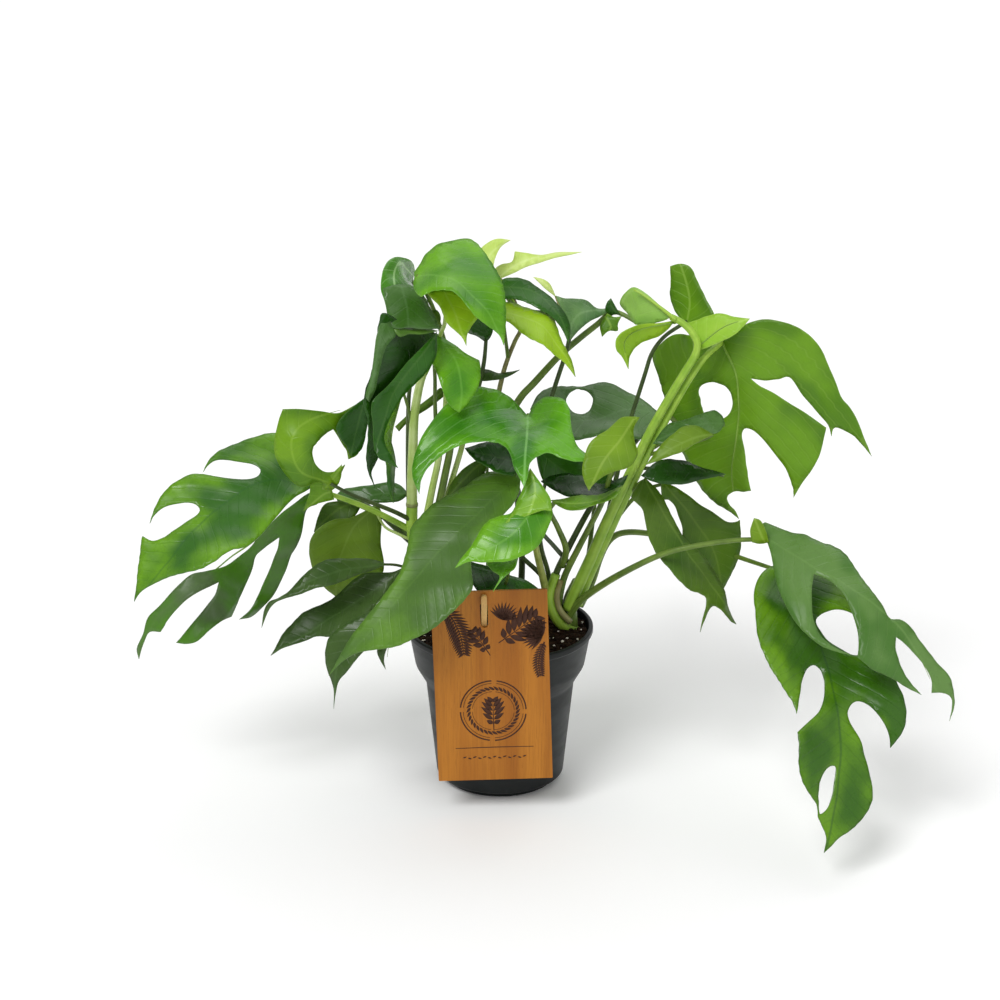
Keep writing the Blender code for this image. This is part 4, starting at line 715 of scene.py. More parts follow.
            (400, 598, 1), (380, 606), (360, 616), (343, 626), (331, 637), (326, 652), (327, 667),
            (331, 680), (334, 692), (334, 709, 1), (336, 693), (339, 681), (347, 672), (357, 659),
            (372, 642), (388, 622),
        ],
        tone="grey_dark",
    ),
    "leaf_low_small": leaf(
        rib=[(404, 612, -60), (390, 640, -68), (386, 669, -74)],
        sides=[(397, 645, -68), (380, 640, -66)],
        edge=[
            (406, 610, 1), (394, 622), (383, 636), (377, 650), (380, 660), (386, 670, 1), (384, 659),
            (388, 646), (397, 630),
        ],
        tone="grey_dark",
    ),
    "leaf_mid_bright": leaf(
        rib=[(441, 341, -10), (456, 362, -24), (462, 388, -36), (459, 412, -42)],
        sides=[(479, 370, -22), (440, 378, -34)],
        edge=[
            (437, 335, 1), (447, 341), (456, 347), (466, 355), (479, 361, 1), (480, 373), (478, 386),
            (470, 400), (459, 413, 1), (449, 405), (442, 390), (436, 372), (430, 357), (432, 344),
        ],
        tone="bright",
    ),
    "leaf_back_spear": leaf(
        rib=[(480, 373, 15), (496, 374, 16), (520, 370, 15)],
        sides=[(498, 368, 18), (498, 379, 12)],
        edge=[
            (479, 368, 1), (489, 370), (499, 374), (508, 373), (520, 370, 1), (509, 377), (499, 380),
            (482, 381, 1),
        ],
        tone="grey_dark",
    ),
    "leaf_small_dark": leaf(
        rib=[(486, 339, 15), (482, 330, 10), (480, 316, 4)],
        sides=[(471, 328, 12), (493, 328, 8)],
        edge=[
            (486, 342, 1), (476, 335), (468, 331), (472, 322), (478, 314), (487, 318), (493, 328),
            (491, 336),
        ],
        tone="black",
    ),
    "leaf_behind_a": leaf(
        rib=[(514, 462, -20), (495, 457, -26), (468, 450, -34)],
        sides=[(490, 445, -18), (500, 472, -38)],
        edge=[
            (465, 448, 1), (480, 445), (495, 443), (507, 450), (512, 458), (517, 470), (512, 478, 1),
            (497, 473), (485, 465), (474, 459),
        ],
        tone="dark",
    ),
    "leaf_behind_b": leaf(
        rib=[(487, 459, -12), (467, 475, -16), (447, 500, -20)],
        sides=[(480, 482, -20), (456, 475, -12)],
        edge=[
            (488, 456, 1), (478, 460), (467, 466), (457, 475), (450, 486), (446, 502, 1), (457, 497),
            (469, 491), (479, 482), (486, 470),
        ],
        tone="olive_dark",
    ),
    "leaf_blue_low": leaf(
        rib=[(545, 483, -18), (575, 487, -24), (600, 490, -28), (626, 477, -32)],
        sides=[(575, 476, -14), (585, 499, -38)],
        edge=[
            (541, 482, 1), (552, 477), (568, 475), (584, 477), (600, 484), (614, 481), (628, 475, 1),
            (621, 488), (607, 495), (591, 500), (575, 500), (559, 493),
        ],
        tone="black",
    ),
    "leaf_edge_green": leaf(
        rib=[(554, 502, -46), (590, 503, -56), (622, 488, -64)],
        sides=[(590, 497, -50), (580, 510, -64)],
        edge=[
            (623, 486, 1), (610, 491), (595, 495), (580, 497), (565, 499), (551, 501, 1), (563, 508),
            (578, 511), (592, 508), (606, 503), (617, 497),
        ],
        tone="green",
    ),
    "leaf_left_back": leaf(
        rib=[(406, 494, 32), (378, 494, 33), (345, 508, 33)],
        sides=[(378, 483, 38), (378, 504, 27)],
        edge=[
            (409, 494, 1), (400, 485), (388, 482), (372, 485), (356, 488), (342, 491), (337, 499),
            (344, 510, 1), (360, 507), (374, 504), (388, 503), (400, 501),
        ],
        tone="blue_dark",
    ),
    "leaf_back_left": leaf(
        rib=[(494, 438, 36), (482, 424, 70), (468, 412, 105), (452, 404, 140)],
        sides=[(452, 426, 80), (502, 414, 100)],
        edge=[
            (496, 440, 1), (482, 441), (466, 440), (452, 434), (444, 424), (442, 413), (448, 402, 1),
            (462, 398), (478, 397), (494, 401), (505, 410), (509, 421), (505, 432),
        ],
        tone="green",
    ),
    "leaf_back_middle": leaf(
        rib=[(600, 436, 60), (620, 420, 105), (649, 410, 150)],
        sides=[(606, 404, 115), (640, 432, 90)],
        edge=[
            (596, 438, 1), (601, 427), (600, 415), (605, 404), (616, 398), (629, 398), (641, 402),
            (651, 408, 1), (654, 418), (648, 429), (636, 436), (622, 439), (608, 440),
        ],
        tone="green",
    ),
    "leaf_back_right": leaf(
        rib=[(750, 374, 20), (775, 362, 60), (800, 354, 100), (817, 352, 125)],
        sides=[(768, 342, 75), (800, 371, 62)],
        edge=[
            (747, 376, 1), (752, 364), (758, 351), (769, 341), (784, 336), (800, 339), (811, 345),
            (819, 353, 1), (813, 362), (802, 370), (788, 374), (772, 374), (758, 377),
        ],
        tone="green",
    ),
}

# Small folds, flags and tips that grow from the blades above, and two dark sheets of painted shade laid over
# blades, all drawn in the same way
FOLDS_AND_PAINTED_SHADE = {
    "fold_centre_under": leaf(
        rib=[(540, 452, -2), (562, 470, 2), (585, 480, 4), (606, 484, 6)],
        sides=[(560, 488, 6), (590, 468, 0)],
        edge=[
            (535, 440, 1), (556, 446), (580, 458), (604, 470), (614, 482, 1), (604, 490), (588, 491),
            (572, 486), (556, 487), (545, 482), (538, 466),
        ],
        tone="dark",
    ),
    "fold_front_small": leaf(
        rib=[(531, 470, -71), (535, 488, -78), (533, 502, -84), (528, 516, -89)],
        sides=[(522, 500, -82), (546, 500, -84)],
        edge=[
            (530, 468, 1), (537, 478), (544, 488), (551, 500), (552, 512, 1), (543, 511), (530, 515),
            (518, 520), (505, 524, 1), (514, 511), (520, 498), (525, 482),
        ],
        tone="young_olive",
    ),
    "fold_flag": leaf(
        rib=[(606, 317, 40), (609, 322, 39), (611, 327, 38), (608, 333, 37)],
        sides=[(602, 327, 38), (617, 322, 38)],
        edge=[
            (607, 313, 1), (614, 317), (622, 316, 1), (618, 324), (618, 331), (609, 331), (602, 337, 1),
            (600, 325),
        ],
        tone="green",
    ),
    "fold_sheath": leaf(
        rib=[(616, 312, 42), (613, 308, 42), (611, 304, 42), (610, 299, 42)],
        sides=[(609, 308, 42), (618, 307, 42)],
        edge=[(620, 314, 1), (616, 307), (611, 298, 1), (607, 302), (605, 309), (609, 315, 1)],
        tone="dark",
    ),
    "fold_left_tip": leaf(
        rib=[(326, 488, -40), (331, 481, -43), (336, 474, -46), (341, 467, -49)],
        sides=[(325, 482, -43), (338, 482, -42)],
        edge=[(322, 489, 1), (325, 479), (333, 473), (342, 465, 1), (341, 476), (337, 486), (330, 491)],
        tone="yellow_deep",
    ),
    "fold_left_sheath": leaf(
        rib=[(330, 492, -12), (324, 494, -13), (317, 500, -14), (308, 508, -15)],
        sides=[(316, 486, -13), (326, 500, -12)],
        edge=[
            (332, 489, 1), (325, 482), (316, 480), (310, 484, 1), (309, 495), (303, 512, 1), (313, 506),
            (324, 502), (334, 499, 1),
        ],
        tone="green",
    ),
    "fold_hanging_edge": leaf(
        rib=[(389, 315, -44), (382, 332, -53), (376, 360, -60), (368, 398, -65)],
        sides=[(374, 345, -58), (388, 340, -52)],
        edge=[
            (389, 313, 1), (382, 320), (376, 335), (374, 355), (370, 380), (366, 396), (369, 402, 1),
            (375, 390), (379, 370), (386, 348), (396, 334), (391, 325),
        ],
        tone="blue_dark",
    ),
    "fold_hanging_front": leaf(
        rib=[(436, 335, -30), (418, 360, -44), (394, 392, -56), (378, 440, -68)],
        sides=[(430, 362, -38), (374, 402, -66), (390, 452, -68)],
        edge=[
            (437, 332, 1), (436, 350), (430, 366), (412, 386), (398, 404), (388, 422), (384, 440),
            (389, 455), (397, 468, 1), (384, 462), (376, 456), (373, 430), (371, 402), (388, 384),
            (408, 362), (424, 345),
        ],
        tone="dark",
    ),
    "fold_hanging_light": leaf(
        rib=[(437, 331, -30), (424, 331, -36), (410, 331, -42), (392, 328, -47)],
        sides=[(415, 327, -38), (405, 335, -46)],
        edge=[(391, 326, 1), (405, 328), (420, 327), (438, 331, 1), (424, 334), (410, 334), (399, 337)],
        tone="olive",
    ),
    # A dark sheet laid over the lower middle of the top dome: painted shade, not a fold of its own
    "painted_shade_dome": leaf(
        rib=[(401, 286, -22), (405, 300, -29), (408, 314, -37), (409, 327, -44)],
        sides=[(385, 305, -32), (432, 318, -27)],
        edge=[
            (383, 289, 1), (398, 285), (412, 287), (422, 296), (430, 310), (438, 331, 1), (424, 330),
            (410, 327), (396, 329), (389, 325), (386, 308),
        ],
        tone="blue_dark",
    ),
    "fold_brown_tip": leaf(
        rib=[(432, 312, -14), (435, 316, -15), (437, 321, -16), (438, 327, -17)],
        sides=[(439, 316, -15), (433, 321, -16)],
        edge=[(430, 311, 1), (437, 310), (441, 318), (438, 329, 1), (433, 322)],
        tone="olive_dark",
    ),
    "fold_behind_left": leaf(
        rib=[(441, 392, 12), (428, 402, 12), (412, 414, 12), (398, 429, 12)],
        sides=[(425, 399, 12), (417, 415, 12)],
        edge=[
            (395, 427, 1), (412, 411), (430, 397), (441, 387), (444, 396, 1), (430, 407), (412, 419),
            (399, 432, 1),
        ],
        tone="olive_dark",
    ),
    # A dark sheet laid over the right arm of the curled leaf: painted shade, not a fold of its own
    "painted_shade_curled": leaf(
        rib=[(366, 398, -34), (360, 416, -36), (355, 434, -37), (351, 456, -38)],
        sides=[(338, 428, -43), (366, 430, -33)],
        edge=[
            (335, 428, 1), (340, 418), (352, 408), (367, 397, 1), (367, 420), (365, 440), (360, 451),
            (351, 457, 1), (346, 446), (339, 438),
        ],
        tone="dark",
    ),
    "fold_upper_ear": leaf(
        rib=[(764, 541, -50), (761, 534, -51), (758, 527, -52), (755, 519, -53)],
        sides=[(751, 530, -51), (764, 530, -51)],
        edge=[(752, 541, 1), (750, 530), (754, 518, 1), (761, 521), (766, 531), (769, 542, 1), (760, 543)],
        tone="yellow_dull",
    ),
}

# For each stem its tubes: the skin, the radius in mm at the foot and at the end, the leaf that the tube
# carries or None, and its route from the foot up, as (x, y, depth)
CANES = {
    "left": [
        ("bright", 4.6, 3.7, None, [
            (441, 648, 6), (441, 612, 6), (428, 575, 4), (416, 546, 2), (412, 526, 1), (412, 504, 0),
        ]),
        ("ring", 4.0, 4.0, None, [(412, 506, 0), (412, 503, 0)]),
        ("pale", 3.5, 2.4, None, [
            (412, 505, 0), (412, 480, -1), (413, 450, -2), (414, 420, -3), (417, 398, -4), (421, 380, -4),
            (427, 364, -3), (433, 351, -1),
        ]),
        ("dark", 1.6, 1.1, "leaf_top_dome", [
            (409, 508, 6), (408, 470, 6), (408, 430, 7), (409, 395, 10), (414, 360, 18), (416, 320, 28),
        ]),
        ("olive", 1.5, 1.1, "leaf_left_hanging", [
            (438, 470, 2), (436, 430, 2), (435, 400, 1), (435, 380, -3), (434, 360, -12),
        ]),
        ("pale", 2.5, 1.1, "leaf_under_heart", [
            (424, 530, -2), (429, 505, -3), (433, 485, -3), (438, 462, -3), (442, 435, -4), (446, 400, -3),
            (444, 362, -3), (440, 338, -7), (445, 322, -18),
        ]),
        ("olive", 2.7, 1.2, "leaf_top_heart", [
            (436, 520, 0), (441, 495, 0), (445, 475, 0), (450, 450, 0), (453, 420, 1), (451, 385, 2),
            (445, 345, 1), (433, 308, -10),
        ]),
        ("pale", 2.0, 1.7, None, [
            (440, 530, 4), (444, 512, 4), (449, 490, 5), (455, 470, 6), (461, 450, 7), (467, 425, 9),
            (473, 403, 11),
        ]),
        ("dark", 1.9, 1.2, "leaf_small_dark", [
            (467, 425, 9), (474, 403, 11), (479, 385, 13), (484, 362, 14),
        ]),
        ("dark", 1.3, 1.0, "leaf_back_spear", [(474, 403, 11), (477, 388, 13)]),
        ("bright", 2.2, 1.4, "leaf_left_upper", [
            (412, 531, 2), (396, 522, 1), (372, 510, -2), (350, 501, -5), (330, 494, -7),
        ]),
        ("dark", 1.6, 1.1, "leaf_left_curled", [
            (411, 520, 0), (395, 512, -8), (370, 502, -22), (350, 494, -34),
        ]),
        ("pale", 1.0, 0.8, "leaf_left_round", [(409, 539, 1), (396, 533, 2), (385, 527, 5), (378, 516, 7)]),
        ("dark", 1.6, 1.1, "leaf_left_under", [(410, 542, 4), (400, 533, 6), (388, 522, 9), (376, 511, 14)]),
        ("olive", 1.6, 1.1, "leaf_left_lower", [(411, 538, 5), (390, 521, 12), (360, 506, 15)]),
        ("dark", 1.4, 1.0, "leaf_left_back", [(412, 515, 4), (410, 500, 20)]),
        ("dark", 1.0, 0.8, "leaf_left_spear", [(412, 569, 2), (396, 565, -8)]),
        ("dark", 1.3, 0.9, "leaf_low_spear", [(420, 576, 4)]),
        ("olive", 1.4, 1.0, "leaf_low_fold", [(441, 602, 2), (420, 597, -22)]),
        ("olive", 1.2, 0.9, "leaf_low_small", [(441, 614, 3), (425, 613, -30)]),
        ("olive", 1.3, 0.9, "leaf_left_strip", [(414, 440, -2), (409, 412, -4)]),
        ("bright", 1.5, 1.1, "leaf_mid_bright", [(425, 374, -4), (434, 356, -4)]),
    ],
    "centre": [
        ("olive", 4.8, 2.2, None, [
            (494, 645, 20), (494, 612, 20), (491, 576, 20), (497, 525, 22), (506, 461, 22), (505, 400, 22),
        ]),
        ("brown", 1.9, 1.1, "leaf_young_spear", [
            (506, 440, 20), (498, 405, 16), (502, 378, 16), (508, 358, 16), (515, 341, 18), (521, 326, 22),
            (514, 300, 27),
        ]),
        ("bright", 1.1, 0.8, "leaf_young_tip", [(517, 308, 26), (506, 290, 24)]),
        ("olive", 1.3, 1.0, "leaf_dark_arch", [(520, 328, 21), (512, 306, 23)]),
        ("olive", 1.3, 1.0, "leaf_yellow_arch", [(508, 358, 16), (505, 334, 8)]),
        ("dark", 1.7, 1.4, None, [
            (530, 450, 20), (545, 415, 18), (553, 392, 15), (560, 371, 12), (566, 353, 10), (569, 340, 6),
        ]),
        ("olive", 2.6, 1.9, "leaf_blue_back", [
            (506, 450, 20), (512, 415, 16), (521, 397, 14), (534, 383, 16), (558, 357, 26), (580, 338, 34),
            (600, 322, 42),
        ]),
        ("olive", 1.7, 1.2, None, [
            (606, 318, 43), (614, 312, 45), (624, 315, 43), (636, 322, 38), (648, 328, 30),
        ]),
        ("brown", 0.9, 0.7, "leaf_bud", [(566, 335, 12), (561, 312, 24)]),
        ("olive", 2.0, 1.2, "leaf_centre_split", [(506, 461, 22), (514, 440, 10), (522, 424, -4)]),
        ("dark", 2.5, 1.4, "leaf_front_olive", [
            (520, 618, 18), (521, 590, 16), (522, 560, 12), (520, 530, 6), (517, 500, -10),
        ]),
        ("straw", 2.8, 1.5, "leaf_front_small", [
            (549, 612, 4), (546, 592, -4), (541, 570, -16), (536, 548, -30), (532, 515, -44),
        ]),
        ("dark", 1.7, 1.4, None, [
            (553, 592, 8), (540, 574, 6), (524, 559, 8), (512, 546, 14), (500, 520, 20),
        ]),
        ("dark", 1.8, 1.1, "leaf_blue_low", [(553, 594, 6), (547, 568, 2), (541, 546, -4), (539, 515, -10)]),
        ("grey", 1.6, 1.0, "leaf_behind_a", [
            (568, 562, -2), (553, 545, -8), (541, 531, -14), (522, 500, -16),
        ]),
        ("olive", 1.3, 1.0, "leaf_behind_b", [(497, 520, 20), (488, 490, 4)]),
        ("olive", 1.3, 0.9, "leaf_front_lobe", [(494, 602, 18), (505, 585, -30)]),
        ("dark", 1.4, 1.0, "leaf_front_dark", [(494, 600, 18), (478, 580, 0)]),
        ("olive", 1.5, 1.1, "leaf_back_left", [(506, 461, 22), (500, 448, 30)]),
    ],
    "right": [
        ("olive", 5.4, 4.2, None, [(572, 650, 5), (570, 618, 4), (570, 600, 2), (578, 582, -2)]),
        ("bright", 3.6, 3.0, None, [
            (578, 632, 4), (563, 626, -2), (553, 612, -5), (550, 594, -5), (556, 574, -4),
        ]),
        ("brown", 2.2, 1.8, None, [(570, 622, -5), (560, 610, -7), (557, 596, -7), (561, 580, -6)]),
        ("bright", 4.2, 2.1, None, [
            (568, 608, -1), (577, 588, -4), (589, 562, -7), (603, 530, -11), (618, 498, -15),
            (634, 465, -19), (650, 432, -22), (668, 400, -24), (683, 375, -26), (695, 355, -27),
            (697, 342, -27), (690, 330, -25), (681, 322, -23), (671, 317, -21),
        ]),
        ("bright", 3.7, 1.9, "leaf_right_big", [
            (577, 604, 0), (586, 582, -2), (595, 562, -4), (609, 532, -7), (623, 502, -11), (640, 468, -16),
            (656, 438, -19), (674, 405, -21), (690, 378, -22), (705, 357, -19),
        ]),
        ("bright", 1.6, 1.2, "leaf_new_light", [(696, 358, -27), (698, 351, -25)]),
        ("bright", 1.7, 1.2, "leaf_new_curled", [(684, 324, -24), (678, 321, -22)]),
        ("pale", 1.6, 1.1, "leaf_new_blue", [(684, 324, -24), (677, 320, -22)]),
        ("bright", 1.3, 0.6, None, [
            (676, 320, -24), (665, 311, -22), (653, 302, -19), (642, 294, -16), (634, 290, -14),
        ]),
        ("dark", 1.8, 1.2, "leaf_upright", [
            (598, 560, -4), (618, 470, 4), (629, 425, 8), (638, 396, 11), (645, 374, 12), (652, 353, 10),
            (665, 336, 5),
        ]),
        ("dark", 2.3, 1.5, "leaf_dark_hole", [
            (551, 600, 2), (556, 574, -2), (568, 549, -6), (580, 526, -4), (592, 505, 4), (612, 474, 22),
            (637, 440, 40),
        ]),
        ("olive", 2.4, 1.3, "leaf_yellow_right", [
            (558, 606, 0), (564, 578, -4), (578, 549, -10), (590, 526, -16), (603, 500, -24),
            (612, 470, -34), (624, 440, -44),
        ]),
        ("olive", 2.3, 1.4, "leaf_edge_green", [
            (562, 566, -4), (566, 549, -10), (558, 528, -22), (550, 511, -38),
        ]),
        ("olive", 2.6, 1.4, "leaf_right_upper", [
            (566, 622, 0), (578, 603, -6), (602, 585, -18), (636, 566, -44), (666, 553, -57),
            (700, 545, -59), (738, 540, -52),
        ]),
        ("olive", 2.4, 1.3, "leaf_right_lower", [
            (580, 606, 2), (592, 582, 3), (600, 558, 6), (609, 541, 9), (622, 533, 13), (645, 533, 19),
            (680, 540, 20), (720, 551, 4), (750, 561, -22),
        ]),
        ("olive", 1.5, 1.1, "leaf_lower_split", [(630, 492, -12), (640, 483, -20)]),
        ("olive", 1.6, 1.1, "leaf_lower_round", [(608, 530, -6), (632, 500, 0), (650, 488, -2)]),
        ("olive", 1.3, 1.0, "leaf_dark_lobe", [(650, 450, -17), (684, 430, -28), (710, 426, -31)]),
        ("olive", 1.3, 1.0, "leaf_light_right", [(648, 455, -17), (680, 446, -36), (702, 440, -50)]),
        ("dark", 1.3, 1.0, "leaf_dark_spear", [(640, 468, -16), (680, 470, -22), (710, 473, -30)]),
        ("olive", 1.6, 1.1, "leaf_back_middle", [(588, 560, -2), (594, 510, 20), (598, 465, 44)]),
        ("olive", 1.6, 1.1, "leaf_back_right", [
            (668, 415, -20), (690, 432, -8), (722, 426, 6), (739, 400, 14),
        ]),
    ],
}


def screen(red, green, blue):
    """A colour given as it looks on a screen, from 0 to 255, as the shader wants it."""
    parts = []
    for part in (red, green, blue):
        part /= 255
        parts.append(part / 12.92 if part <= 0.04045 else ((part + 0.055) / 1.055) ** 2.4)
    return (*parts, 1.0)


def darker(colour, share):
    """A shader colour with a share of its light."""
    return tuple(part * share for part in colour[:3]) + (1.0,)


def on_ray(places):
    """Points in mm that the viewer sees at x and y of the picture, at a depth in mm along +Y."""
    places = np.atleast_2d(np.asarray(places, float))
    right = (places[:, 0] - PICTURE_MIDDLE) / FOCAL
    up = (PICTURE_MIDDLE - places[:, 1]) / FOCAL
    rays = np.column_stack([
        right,
        math.cos(VIEW_PITCH) + up * math.sin(VIEW_PITCH),
        up * math.cos(VIEW_PITCH) - math.sin(VIEW_PITCH),
    ])
    return EYE + rays * ((places[:, 2] - EYE[1]) / rays[:, 1])[:, None]


def bending(first, second):
    """How far each of the first places is pulled by each of the second in a thin sheet."""
    apart = np.linalg.norm(first[:, None] - second[None], axis=2) + 1e-9
    return apart ** 2 * np.log(apart)


def on_blade(shape, places):
    """Points in mm of a leaf's middle sheet: a thin sheet bent through the places whose depth is known."""
    known = np.array(shape["rib"] + shape["sides"], float)
    near = known[:, :2] / SHEET_SCALE
    count = len(known)
    system = np.zeros((count + 3, count + 3))
    system[:count, :count] = bending(near, near) + SHEET_SLACK * np.eye(count)
    system[:count, count:] = np.column_stack([np.ones(count), near])
    system[count:, :count] = system[:count, count:].T
    pulls = np.linalg.solve(system, np.append(known[:, 2], np.zeros(3)))
    places = np.atleast_2d(np.asarray(places, float))[:, :2]
    spread = places / SHEET_SCALE
    depth = bending(spread, near) @ pulls[:count]
    depth += np.column_stack([np.ones(len(places)), spread]) @ pulls[count:]
    return on_ray(np.column_stack([places, depth]))


def front_normals(shape, places):
    """The blade's directions towards the viewer's side, at places in the picture."""
    places = np.atleast_2d(np.asarray(places, float))[:, :2]
    here = on_blade(shape, places)
    right = on_blade(shape, places + (1.0, 0.0)) - here
    down = on_blade(shape, places + (0.0, 1.0)) - here
    normals = np.cross(down, right)
    return normals / np.linalg.norm(normals, axis=1)[:, None]


def curve(points, steps=CURVE_STEPS, closed=False):
    """A smooth curve through a few points, with `steps` places between each pair."""
    points = np.asarray(points, float)
    if closed:
        ends = np.vstack([points[-1:], points, points[:2]])
    else:
        ends = np.vstack([2 * points[:1] - points[1:2], points, 2 * points[-1:] - points[-2:-1]])
    dense = []
    for a, b, c, d in zip(ends[:-3], ends[1:-2], ends[2:-1], ends[3:]):
        t = np.linspace(0, 1, steps, endpoint=False)[:, None]
        bend = (2 * a - 5 * b + 4 * c - d) * t ** 2 + (3 * b - a - 3 * c + d) * t ** 3
        dense.append((2 * b + (c - a) * t + bend) / 2)
    return np.vstack(dense + [ends[-2:-1]])


def travelled_along(line):
    """How far each point of a line lies from its start."""
    return np.concatenate([[0.0], np.cumsum(np.linalg.norm(np.diff(line, axis=0), axis=1))])


def paced(dense, step):
    """Points about a step apart along a dense curve, both ends included."""
    lengths = travelled_along(dense)
    marks = np.linspace(0, lengths[-1], max(1, round(lengths[-1] / step)) + 1)
    return np.column_stack([np.interp(marks, lengths, dense[:, k]) for k in range(dense.shape[1])])


def outline(edge, step):
    """Points round a blade, smooth between its corners and sharp at them."""
    corners = [k for k, place in enumerate(edge) if len(place) > 2]
    flat = [place[:2] for place in edge]
    loop = []
    for number, start in enumerate(corners):
        end = corners[(number + 1) % len(corners)]
        if end <= start:
            end += len(edge)
        run = [flat[k % len(edge)] for k in range(start, end + 1)]
        loop.append(paced(curve(run), step)[:-1])
    return np.vstack(loop)


def inside(points, loop):
    """Which points lie inside a closed loop."""
    hit = np.zeros(len(points), bool)
    for (ax, ay), (bx, by) in zip(loop, np.roll(loop, -1, axis=0)):
        crosses = (ay > points[:, 1]) != (by > points[:, 1])
        if ay != by:
            hit ^= crosses & (points[:, 0] < (bx - ax) * (points[:, 1] - ay) / (by - ay) + ax)
    return hit


def distance_to(points, loop, closed=True):
    """How far each point is from a line of points, and the nearest place along it."""
    starts = loop if closed else loop[:-1]
    ends = np.roll(loop, -1, axis=0) if closed else loop[1:]
    best = np.full(len(points), np.inf)
    along = np.zeros(len(points))
    travelled = 0.0
    for a, b in zip(starts, ends):
        span = b - a
        length = np.linalg.norm(span)
        share = np.clip((points - a) @ span / max(length ** 2, 1e-12), 0, 1)
        gap = np.linalg.norm(points - a - share[:, None] * span, axis=1)
        nearer = gap < best
        best[nearer] = gap[nearer]
        along[nearer] = travelled + share[nearer] * length
        travelled += length
    return best, along


def triangulated(loops, *more):
    """Places and triangles inside the first loop and outside the others, with more places used within."""
    edges = []
    count = 0
    for loop in loops:
        edges += [(count + k, count + (k + 1) % len(loop)) for k in range(len(loop))]
        count += len(loop)
    places = np.vstack([*loops, *more])
    found = delaunay_2d_cdt([Vector(place) for place in places], edges, [], 0, MERGE_DISTANCE)
    places = np.array([tuple(place) for place in found[0]])
    triangles = np.array([tuple(face) for face in found[2]])
    centres = places[triangles].mean(axis=1)
    keep = inside(centres, loops[0])
    for hole in loops[1:]:
        keep &= ~inside(centres, hole)
    return places, triangles[keep]


def facing(triangles, points, way):
    """Triangles wound so that each one faces its way."""
    corners = points[triangles]
    turned_to = np.cross(corners[:, 1] - corners[:, 0], corners[:, 2] - corners[:, 0])
    backwards = (turned_to * way).sum(axis=1) < 0
    triangles[backwards] = triangles[backwards][:, ::-1]
    return triangles


def closed_faces(triangles, count):
    """A thin body's faces from one sheet of triangles: near side, far side in slot 1, and the walls."""
    faces = [tuple(face) for face in triangles] + [tuple(face[::-1] + count) for face in triangles]
    slots = [0] * len(triangles) + [1] * len(triangles)
    sides = {(int(face[k - 1]), int(face[k])) for face in triangles for k in range(3)}
    for start, end in sorted(sides):
        if (end, start) not in sides:
            faces.append((end, start, start + count, end + count))
            slots.append(0)
    return faces, slots


def inner_grid(loops, rib, spacing):
    """Places within a blade: rows of a triangular grid and the midrib, clear of the outline and the holes."""
    low = loops[0].min(axis=0)
    high = loops[0].max(axis=0)
    rows = np.arange(low[1], high[1], spacing * math.sqrt(3) / 2)
    grid = np.array([
        (x + (row % 2) * spacing / 2, y)
        for row, y in enumerate(rows)
        for x in np.arange(low[0], high[0], spacing)
    ])
    grid = grid[distance_to(grid, rib, closed=False)[0] > spacing * RIB_CLEAR]
    grid = np.vstack([grid, rib])
    grid = grid[inside(grid, loops[0])]
    for loop in loops:
        grid = grid[distance_to(grid, loop)[0] > spacing * EDGE_CLEAR]
    for hole in loops[1:]:
        grid = grid[~inside(grid, hole)]
    return grid


def sheet(shape):
    """A leaf's places in the picture, its triangles, and its outline and holes as loops."""
    loops = [outline(shape["edge"], EDGE_STEP)]
    loops += [paced(curve(hole, closed=True), EDGE_STEP)[:-1] for hole in shape["holes"]]
    spacing = EDGE_STEP * GRID_SHARE
    rib = paced(curve([place[:2] for place in shape["rib"]]), spacing)
    places, triangles = triangulated(loops, inner_grid(loops, rib, spacing))
    used = np.unique(triangles)
    renumber = np.zeros(len(places), int)
    renumber[used] = np.arange(len(used))
    return places[used], renumber[triangles], loops


def side_of(places, rib):
    """Whether each place in the picture lies on one side of the midrib, 1, or on the other, -1."""
    near = ((places[:, None] - rib[None]) ** 2).sum(axis=2).argmin(axis=1)
    near = np.clip(near, 0, len(rib) - 2)
    way = rib[near + 1] - rib[near]
    out = places - rib[near]
    return np.where(way[:, 0] * out[:, 1] - way[:, 1] * out[:, 0] >= 0, 1.0, -1.0)


def swell(shape, along, across):
    """How far in mm a living blade's soft waves lift it, each leaf's in its own places."""
    start = shape["rib"][0][0]
    broad = np.sin(along / SWELL_LENGTHS[0] + start) * np.cos(across / SWELL_LENGTHS[1] + 0.4 * start)
    fine = np.sin(along / FINE_LENGTHS[0] - across / FINE_LENGTHS[1] + 2.0 * start)
    return SWELL * (broad + SWELL_FINE * fine)


def relief(shape, along, across):
    """How far in mm a blade stands off its flat sheet: its fold, the net between its veins and its waves."""
    from_rib = np.abs(across)
    lift = shape["fold"] * (1 - np.exp(-(from_rib / FOLD_REACH) ** 2))
    pucker = np.cos((along - VEIN_SWEEP * from_rib) * 2 * math.pi / SIDE_VEIN_GAP)
    depth = PUCKER * SMOOTH_SHARE if shape["tone"] in SMOOTH_TONES else PUCKER
    lift = lift - depth * pucker * (1 - np.exp(-from_rib / SIDE_VEIN_GAP))
    return lift + swell(shape, along, across)


